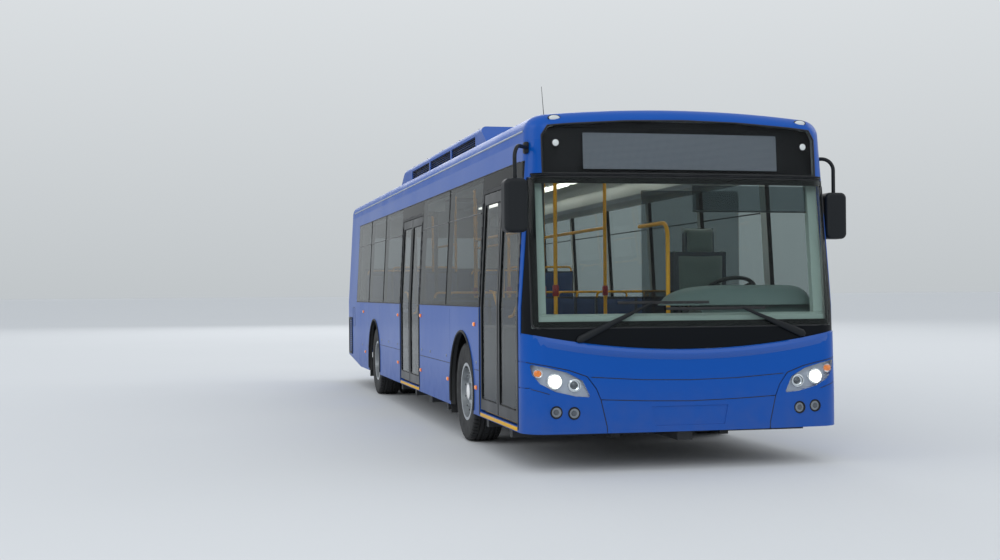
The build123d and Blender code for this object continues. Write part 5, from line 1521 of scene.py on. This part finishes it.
class BUS_OT_tail(bpy.types.Operator):
    """Fit out the tail"""
    bl_idname = "bus.tail"
    bl_label = "Tail"

    def execute(self, context):
        """Louvres and a handle on the engine door, a bare plate place, the reflectors and the brake lamp."""
        self.add_door_fittings()
        plate, strips = Forms(), Forms()
        skin = on_rear(0.0, 0.46)
        plate.block(*slab(0, 0.27, (skin.y - 0.004, skin.y + 0.008), (0.435, 0.535)), 0.004)
        # Bare aluminium sheet: pale and satin
        plate.piece("plate_place", surface("Plate_Bare", srgb("b9bdbf"), 0.45, metallic=0.4))
        for side in SIDES:
            skin = on_rear(side * 1.0, 0.47)
            strips.block(*slab(side * 1.0, 0.045, (skin.y - 0.004, skin.y + 0.006), (0.455, 0.49)), 0.004)
        # Red reflectors: no lamp lies behind them, yet their lens glows faintly, a painted glow
        strips.piece("tail_reflectors", lamp_colour("Acrylic_Reflector", "9a1214", 0.1))
        brake = Forms()
        skin = on_rear(0.0, 2.36)
        brake.block(*slab(0, 0.16, (skin.y - 0.01, skin.y + 0.014), (2.345, 2.375)), 0.006)
        brake.piece("high_brake_lamp", lamp_colour("Acrylic_Red_High", "7d0c0e", 0.15))
        return {"FINISHED"}

    def add_door_fittings(self):
        """Louvres, a recessed handle and edge rubber, riding on the engine door."""
        body = "engine_door_body"
        slats, handle = Forms(), Forms()
        for row in range(LOUVRES):
            z = LOUVRE_Z + row * LOUVRE_PITCH
            for side in SIDES:
                skin = on_rear(side * 0.4, z)
                place = facing(skin, (0, 1, 0)) @ Matrix.Rotation(math.radians(24), 4, "X")
                slats.block((-0.31, -0.011, -0.002), (0.31, 0.011, 0.008), 0.003, place)
        slats.piece("engine_door_louvres", gloss_black(), body)
        low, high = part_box("engine_door")
        edge = [on_rear(x, z) for x, z in rounded_outline((low.x + 0.012, high.x - 0.012),
                                                          (low.z + 0.012, high.z - 0.012), 0.02)]
        pipes("engine_door_edge", [edge], 0.0035, rubber(), body, closed=True, sides=6)
        skin = on_rear(0.0, 0.66)
        handle.block((-0.07, skin.y - 0.003, 0.635), (0.07, skin.y + 0.010, 0.685), 0.006)
        handle.block((-0.05, skin.y + 0.008, 0.652), (0.05, skin.y + 0.016, 0.668), 0.004)
        handle.piece("engine_door_handle", abs_black(), body)


# Seats by side, place of the row behind the nose, and floor level; each row is a pair
SEAT_ROWS = ((-1, 3.35, 0.333), (-1, 4.15, 0.333), (1, 3.35, 0.333), (1, 4.10, 0.333), (1, 4.85, 0.333),
             (1, 5.60, 0.333), (-1, 7.15, 0.660), (1, 7.15, 0.660), (-1, 9.60, 0.660), (1, 9.60, 0.660))
# Width of a seat, and X of a row's outer edge
SEAT_WIDE = 0.425
SEAT_OUT = 1.19
# Sewn channels across a seat's pad and its back, from -1 to 1
PAD_CHANNELS = (-0.45, 0.45)
BACK_CHANNELS = (-0.5, 0.1, 0.62)
# Ceiling lamps: X of their rows, and where each lamp starts behind the nose
CEILING_LAMP_X = 0.62
CEILING_LAMP_BACKS = (0.9, 2.5, 4.1, 5.7, 7.3, 8.9)
# The pole before the driver's cab
CAB_POLE_X = 0.19


class BUS_OT_cabin(bpy.types.Operator):
    """Furnish the cabin"""
    bl_idname = "bus.cabin"
    bl_label = "Cabin"

    def execute(self, context):
        """Seat pads, ceiling lamps and coves, the cab pole and push buttons."""
        self.add_seats()
        self.add_ceiling()
        self.add_rail_fittings()
        return {"FINISHED"}

    def add_seats(self):
        """Padded cushions and backs with grab handles on each seat, and pads along the bench."""
        pads, grips = Forms(), []
        for side, back, floor_z in SEAT_ROWS:
            for number in (0, 1):
                x = side * (SEAT_OUT - SEAT_WIDE * (number + 0.5))
                y = FRONT_Y + back
                half = SEAT_WIDE / 2 - 0.012
                pads.cushion(*slab(x, half, (y - 0.205, y + 0.185), (floor_z + 0.425, floor_z + 0.472)), 2,
                             channels=PAD_CHANNELS)
                pads.cushion(*slab(x, half, (y + 0.21, y + 0.175), (floor_z + 0.5, floor_z + 0.945)), 1,
                             -0.012, channels=BACK_CHANNELS)
                pads.block((x - half + 0.01, y + 0.245, floor_z + 0.47),
                           (x + half - 0.01, y + 0.262, floor_z + 0.93), 0.008)
            inner = side * (SEAT_OUT - 2 * SEAT_WIDE + 0.02)
            outer = side * (SEAT_OUT - 0.02)
            top = floor_z + 0.96
            y = FRONT_Y + back + 0.225
            grips.append([(inner, y, top - 0.03), (inner, y, top + 0.055), (outer, y, top + 0.055),
                          (outer, y, top - 0.03)])
        for step in range(5):
            x = -0.88 + step * 0.44
            pads.cushion(*slab(x, 0.2, (FRONT_Y + 10.245, FRONT_Y + 10.63), (1.18, 1.228)), 2,
                         channels=PAD_CHANNELS)
            pads.cushion(*slab(x, 0.2, (FRONT_Y + 10.655, FRONT_Y + 10.617), (1.26, 1.70)), 1, -0.012,
                         channels=BACK_CHANNELS)
        pads.piece("seat_pads", seat_cloth(), crease=60.0)
        pipes("seat_grips", grips, 0.012, powder_yellow(), bend=0.04, sides=10)

    def add_ceiling(self):
        """Two rows of long lamps in pale coves, and air ducts over the windows."""
        lamps, coves = Forms(), Forms()
        for side in SIDES:
            for start in CEILING_LAMP_BACKS:
                along = FRONT_Y + start, FRONT_Y + start + 1.4
                lamps.block(*slab(side * CEILING_LAMP_X, 0.06, along, (2.60, 2.625)), 0.01)
            coves.block(*slab(side * CEILING_LAMP_X, 0.12, (FRONT_Y + 0.6, FRONT_Y + 11.1), (2.622, 2.66)),
                        0.012)
            coves.block(*slab(side * 1.02, 0.12, (FRONT_Y + 1.75, FRONT_Y + 11.1), (2.36, 2.52)), 0.05)
        lamps.piece("ceiling_lamps", lamp_glow("Lamp_Ceiling", "f4f1e6", 4.0))
        coves.piece("ceiling_coves", lining())

    def add_rail_fittings(self):
        """The pole before the driver's cab, and red push buttons on the poles."""
        start, end = FRONT_Y + 1.0, FRONT_Y + 1.72
        pole = [(CAB_POLE_X, start, 0.34), (CAB_POLE_X, start, 1.92), (CAB_POLE_X, end, 1.92)]
        pipes("cab_pole", [pole], 0.0175, powder_yellow(), bend=0.12, sides=16)
        buttons = Forms()
        for x, back in ((-0.56, 1.80), (-0.315, 3.15), (0.315, 3.15), (-0.315, 4.60),
                        (-0.315, 6.38), (0.315, 6.10)):
            place = Vector((x, FRONT_Y + back, 1.36))
            buttons.block(place - Vector((0.024, 0.026, 0.05)), place + Vector((0.024, 0.026, 0.05)), 0.01)
        # Moulded red plastic: satin
        buttons.piece("push_buttons", surface("Button_Red", srgb("a01818"), 0.4))


# Instrument hump: its ends across the bus, its foot, and its section as (distance behind the nose, height)
HUMP_X = (-0.02, 1.19)
HUMP_FOOT = 1.235
HUMP_STEPS = 28
HUMP = ((0.345, 1.235), (0.352, 1.275), (0.375, 1.325), (0.41, 1.362), (0.455, 1.384), (0.51, 1.393),
        (0.56, 1.392), (0.60, 1.386), (0.64, 1.37), (0.665, 1.34), (0.68, 1.30), (0.688, 1.26), (0.69, 1.235))
# The driver's place: X of the seat's middle, and the height of its floor
DRIVER_X = 0.68
CAB_FLOOR = 0.56


class BUS_OT_cab(bpy.types.Operator):
    """Fit out the driver's place"""
    bl_idname = "bus.cab"
    bl_label = "Driver's place"

    def execute(self, context):
        """Padded driver's seat, instruments, the hump, and dressed wipers and mirrors."""
        self.add_seat()
        self.add_instruments()
        self.add_hump()
        self.add_wipers()
        self.add_mirrors()
        return {"FINISHED"}

    def add_seat(self):
        """Deep cushions over the driver's seat, with arm rests."""
        y = FRONT_Y + 1.33
        pads, arms = Forms(), Forms()
        x = DRIVER_X
        pads.cushion((x - 0.24, y - 0.25, CAB_FLOOR + 0.40), (x + 0.24, y + 0.19, CAB_FLOOR + 0.52), 2, 0.02,
                     channels=(-0.4, 0.4))
        pads.cushion((x - 0.235, y + 0.32, CAB_FLOOR + 0.48), (x + 0.235, y + 0.16, CAB_FLOOR + 1.14), 1,
                     -0.03, 0.06, channels=(-0.45, 0.0, 0.45))
        pads.cushion((x - 0.14, y + 0.29, CAB_FLOOR + 1.11),
                     (x + 0.14, y + 0.18, CAB_FLOOR + 1.34), 1, -0.02, 0.06)
        for side in SIDES:
            heights = CAB_FLOOR + 0.68, CAB_FLOOR + 0.73
            arms.block(*slab(x + side * 0.28, 0.03, (y - 0.16, y + 0.18), heights), 0.02)
        # Grey-green woven cover: matt, it lightens at glancing angles
        cloth = surface("Moquette_Driver", srgb("5d6b68"), 0.9, mottle=0.2, mottle_mm=12.0, grain=0.6,
                        grain_mm=4.0, sheen=0.4)
        pads.piece("driver_seat_pads", cloth, crease=60.0)
        arms.piece("driver_arm_rests", abs_black())

    def add_instruments(self):
        """The dial panel, switch rows and the ticket unit on the dashboard."""
        panel, keys = Forms(), Forms()
        place = Matrix.Translation((DRIVER_X, FRONT_Y + 0.705, 1.29))
        turn = place @ Matrix.Rotation(math.radians(-62), 4, "X")
        panel.block((-0.19, -0.06, 0.0), (0.19, 0.06, 0.012), 0.006, turn)
        for x in (-0.1, 0.0, 0.1):
            keys.lathe([(0.0, 0.016), (0.036, 0.016), (0.042, 0.019), (0.045, 0.010)],
                       turn @ Matrix.Translation((x, 0.0, 0)), 28)
        for step in range(8):
            x = -0.52 + step * 0.04
            if abs(x) > 0.2:
                along = FRONT_Y + 0.70, FRONT_Y + 0.73
                keys.block(*slab(DRIVER_X + x, 0.015, along, (1.205, 1.262)), 0.004)
        unit = Forms()
        unit.block((0.30, FRONT_Y + 0.80, 1.05), (0.46, FRONT_Y + 0.98, 1.36), 0.02)
        # Moulded grey housing: satin
        unit.piece("ticket_unit", surface("Unit_Grey", srgb("3b4145"), 0.5))
        panel.piece("dial_panel", gloss_black())
        keys.piece("dials_and_keys", abs_black())

    def add_hump(self):
        """The instrument hump's soft cover, a low dome over the dashboard."""
        rings = []
        for step in range(HUMP_STEPS + 1):
            share = -1 + 2 * step / HUMP_STEPS
            x = sum(HUMP_X) / 2 + share * (HUMP_X[1] - HUMP_X[0]) / 2
            rise = (1 - abs(share) ** (12 if share > 0 else 3.5)) ** 0.5
            rings.append([(x, FRONT_Y + back, HUMP_FOOT + (z - HUMP_FOOT) * rise) for back, z in HUMP])
        cover = Forms().rings(rings)
        cover.piece("dashboard_hump", dash_cover(), crease=50.0)

    def add_wipers(self):
        """Tapered arms and blades over the slim CAD rods."""
        arms, blades = Forms(), Forms()
        for pivot, elbow, blade_z, span in (((-0.85, 0.992), (-0.29, 1.262), 1.262, (-0.56, 0.16)),
                                            ((0.935, 1.015), (0.44, 1.215), 1.215, (-0.18, 0.62))):
            start, end = on_front(*pivot, 0.016), on_front(*elbow, 0.024)
            along = (end - start).normalized()
            rings = []
            for share, wide, deep in ((-0.05, 0.012, 0.010), (0.0, 0.030, 0.018), (0.12, 0.028, 0.016),
                                      (0.4, 0.022, 0.013), (0.75, 0.013, 0.010), (1.0, 0.009, 0.008)):
                place = facing(start.lerp(end, share), along, (0, 1, 0))
                rings.append([place @ Vector((wide * math.cos(a), deep * math.sin(a), 0))
                              for a in (2 * math.pi * t / 16 for t in range(16))])
            arms.rings(rings)
            arms.lathe([(0.0, 0.018), (0.018, 0.016), (0.024, 0.006), (0.026, -0.012)],
                       facing(on_front(*pivot, 0.012), (0, -1, 0)), 24)
            points = [on_front(span[0] + (span[1] - span[0]) * t / 8, blade_z, 0.010) for t in range(9)]
            for a, b in zip(points, points[1:]):
                half = (b - a).length / 2 + 0.002
                place = facing((a + b) / 2, (0, -1, 0))
                blades.block((-half, -0.011, -0.004), (half, 0.011, 0.014), 0.003, place)
        arms.piece("wiper_arms", abs_black())
        blades.piece("wiper_blades", rubber())

    def add_mirrors(self):
        """Silvered glass on the back of both mirror housings, and brackets where the arms meet the body."""
        glass_faces, brackets = Forms(), Forms()
        for x, back, z, high in ((-1.34, 0.066, 1.99, 0.40), (1.34, 0.30, 1.94, 0.37)):
            y = FRONT_Y + back + 0.06
            outline = rounded_outline((x - 0.078, x + 0.078),
                                      (z - high / 2 + 0.015, z + high / 2 - 0.015), 0.035)
            rings = [[(u, y + dy, v) for u, v in outline] for dy in (-0.004, 0.003)]
            glass_faces.rings(rings)
        for x, back, z in ((-1.19, 0.262, 2.44), (1.19, 0.40, 2.40)):
            side = 1 if x > 0 else -1
            skin = on_side(side, back, z)
            brackets.block((-0.03, -0.045, -0.01), (0.03, 0.045, 0.028), 0.012, facing(skin, (side, 0, 0)))
        # Silvered glass: a clear, bright mirror
        glass_faces.piece("mirror_glass",
                          surface("Mirror_Silver", srgb("cfd6da"), 0.03, metallic=1.0, mottle=0.01))
        brackets.piece("mirror_brackets", abs_black())


# Distance of the rubber aprons from the rear axle, ahead of it and behind it
APRON_OFF = 0.577


class BUS_OT_underbody(bpy.types.Operator):
    """Dress what shows below"""
    bl_idname = "bus.underbody"
    bl_label = "Underbody"

    def execute(self, context):
        """Bellows rings, mud flaps and aprons, air lines and an exhaust pipe."""
        rings = Forms()
        for x, back, low, high, radius in ((0.33, 2.21, 0.206, 0.30, 0.066), (0.33, 2.71, 0.206, 0.30, 0.066),
                                           (0.45, 8.01, 0.42, 0.535, 0.096),
                                           (0.45, 8.91, 0.42, 0.535, 0.096)):
            for side in SIDES:
                place = Matrix.Translation((side * x, FRONT_Y + back, 0))
                middle = (low + high) / 2
                rings.lathe([(radius - 0.002, low + 0.012), (radius + 0.014, (low + middle) / 2),
                             (radius - 0.001, middle), (radius + 0.014, (middle + high) / 2),
                             (radius - 0.002, high - 0.012), (radius - 0.006, middle)], place, 36, True)
        rings.piece("bellows_rings", rubber())
        flaps = Forms()
        for side in SIDES:
            for back in (3.09, 9.09):
                along = FRONT_Y + back, FRONT_Y + back + 0.008
                flaps.block(*slab(side * 1.10, 0.15, along, (0.20, 0.46)), 0.003)
            for back in (AXLE_BACKS[1] - APRON_OFF, AXLE_BACKS[1] + APRON_OFF):
                along = FRONT_Y + back - 0.003, FRONT_Y + back + 0.003
                flaps.block(*slab(side * 0.915, 0.305, along, (0.29, 0.66)), 0.001)
        flaps.piece("mud_flaps", rubber())
        lines = [[(x, FRONT_Y + 0.9, 0.285), (x, FRONT_Y + 6.5, 0.285)] for x in (0.30, 0.27)]
        pipes("air_lines", lines, 0.007, abs_black(), sides=8)
        path = [(0.1, FRONT_Y + 10.5, 0.40), (0.55, FRONT_Y + 10.9, 0.40), (0.75, FRONT_Y + 11.35, 0.45),
                (0.75, FRONT_Y + 11.56, 0.45)]
        # Steel browned by heat: dull and patchy
        steel = surface("Steel_Exhaust", srgb("5d5650"), 0.5, metallic=0.8, mottle=0.3, mottle_mm=60.0)
        pipes("exhaust", [path], 0.045, steel, bend=0.12, sides=20)
        return {"FINISHED"}


# The photograph's camera: place in metres, turn to the right, tilt up and roll in degrees
CAMERA_PLACE = (-3.683, -15.461, 1.345)
CAMERA_TURN = (12.89, 0.54, -0.42)
FOCAL_PX = 1353.3
IMAGE_W = 1000
SENSOR_MM = 36.0


class BUS_OT_stage(bpy.types.Operator):
    """Set the floor, the lamps, the sky and the camera"""
    bl_idname = "bus.stage"
    bl_label = "Stage"

    def execute(self, context):
        """Build the stage round the finished bus."""
        self.add_floor()
        self.add_sky(context)
        self.add_lamps(context)
        self.add_camera(context)
        context.scene.view_settings.view_transform = "Standard"
        return {"FINISHED"}

    def add_floor(self):
        """A wide pale floor under the bus."""
        reach = 600.0
        mesh = bpy.data.meshes.new("floor")
        mesh.from_pydata([(-reach, -reach, 0), (reach, -reach, 0), (reach, reach, 0), (-reach, reach, 0)], [],
                         [(0, 1, 2, 3)])
        # Pale, even studio floor: matt
        mesh.materials.append(surface("Floor_Pale", settings("bus_stage").floor, 0.8, mottle=0.01,
                                     mottle_mm=3000.0, shine=0.1))
        ground = bpy.data.objects.new("stage_floor", mesh)
        bpy.context.scene.collection.objects.link(ground)

    def add_sky(self, context):
        """A soft sky that camera, gloss and glass see as a pale backdrop."""
        world = bpy.data.worlds.new("Sky")
        context.scene.world = world
        world.use_nodes = True
        tree = world.node_tree
        tree.nodes.clear()
        rays = add_node(tree, "ShaderNodeLightPath").outputs
        seen = rays["Is Camera Ray"]
        for name in ("Is Glossy Ray", "Is Transmission Ray"):
            seen = maths(tree, "MAXIMUM", seen, rays[name])
        up = axes_of(tree, add_node(tree, "ShaderNodeTexCoord").outputs["Generated"])["Z"]
        share = mapped(tree, up, (0.0, 0.35), (0.0, 1.0))
        backdrop = mixed(tree, share, srgb("c1c6c9"), srgb("e9edf0"))
        soft = add_node(tree, "ShaderNodeBackground", None, {
            "Color": srgb("e9eef3"), "Strength": settings("bus_stage").sky})
        pale = add_node(tree, "ShaderNodeBackground", None, {"Color": backdrop, "Strength": 1.0})
        both = add_node(tree, "ShaderNodeMixShader", None, {0: seen, 1: soft.outputs[0], 2: pale.outputs[0]})
        add_node(tree, "ShaderNodeOutputWorld", None, {0: both.outputs[0]})

    def add_lamps(self, context):
        """Four wide lamps, far off: the key ahead, the others at the kerb, the street and the tail."""
        key = settings("bus_stage").key
        target = Vector((0, FRONT_Y + 3.0, 1.4))
        lamps = {"Key": ((-10.0, -32.0, 19.0), 18.0, key), "Kerb": ((-32.0, -3.0, 16.0), 18.0, key * 0.8),
                 "Street": ((30.0, 4.0, 18.0), 18.0, key * 0.7), "Tail": ((4.0, 38.0, 18.0), 18.0, key * 0.9)}
        for name, (place, size, power) in lamps.items():
            data = bpy.data.lights.new(name, "AREA")
            data.size = size
            data.energy = power
            lamp = bpy.data.objects.new(name, data)
            lamp.location = place
            lamp.rotation_euler = (target - Vector(place)).to_track_quat("-Z", "Y").to_euler()
            context.scene.collection.objects.link(lamp)

    def add_camera(self, context):
        """The photograph's camera, solved from the bus's own sizes."""
        place, yaw, pitch, roll = CAMERA_PLACE, *(math.radians(a) for a in CAMERA_TURN)
        ahead = Vector((math.sin(yaw) * math.cos(pitch), math.cos(yaw) * math.cos(pitch), math.sin(pitch)))
        level = Vector((math.cos(yaw), -math.sin(yaw), 0))
        above = level.cross(ahead)
        right = level * math.cos(roll) + above * math.sin(roll)
        top = above * math.cos(roll) - level * math.sin(roll)
        data = bpy.data.cameras.new("Camera")
        data.sensor_width = SENSOR_MM
        data.lens = FOCAL_PX * SENSOR_MM / IMAGE_W
        camera = bpy.data.objects.new("Camera", data)
        camera.matrix_world = Matrix.Translation(place) @ Matrix((right, top, -ahead)).transposed().to_4x4()
        context.scene.collection.objects.link(camera)
        context.scene.camera = camera


class BUS_PT_panel(bpy.types.Panel):
    """The bus's settings and steps"""
    bl_idname = "BUS_PT_panel"
    bl_label = "City Bus"
    bl_space_type = "VIEW_3D"
    bl_region_type = "UI"
    bl_category = "City Bus"

    def draw(self, context):
        """List the steps, then the settings."""
        for step in STEPS:
            self.layout.operator(step.bl_idname)
        for name, group in GROUPS.items():
            for key in group.__annotations__:
                self.layout.prop(getattr(context.scene, name), key)


GROUPS = {"bus_paint": BusPaint, "bus_glass": BusGlass, "bus_trim": BusTrim, "bus_tyres": BusTyres,
          "bus_stage": BusStage}
STEPS = (BUS_OT_body_finish, BUS_OT_glazing, BUS_OT_lamps, BUS_OT_side_trim, BUS_OT_doors, BUS_OT_wheels,
         BUS_OT_roof, BUS_OT_tail, BUS_OT_cabin, BUS_OT_cab, BUS_OT_underbody, BUS_OT_stage)


def register():
    """Register the classes and hang the settings on the scene."""
    for made in (*GROUPS.values(), *STEPS, BUS_PT_panel):
        bpy.utils.register_class(made)
    for name, group in GROUPS.items():
        setattr(bpy.types.Scene, name, PointerProperty(type=group))


def unregister():
    """Take the settings and the classes away."""
    for name in GROUPS:
        delattr(bpy.types.Scene, name)
    for made in (BUS_PT_panel, *STEPS[::-1], *GROUPS.values()):
        bpy.utils.unregister_class(made)


def main():
    """Run every step."""
    register()
    for step in STEPS:
        family, name = step.bl_idname.split(".")
        getattr(getattr(bpy.ops, family), name)()


if __name__ == "__main__":
    main()
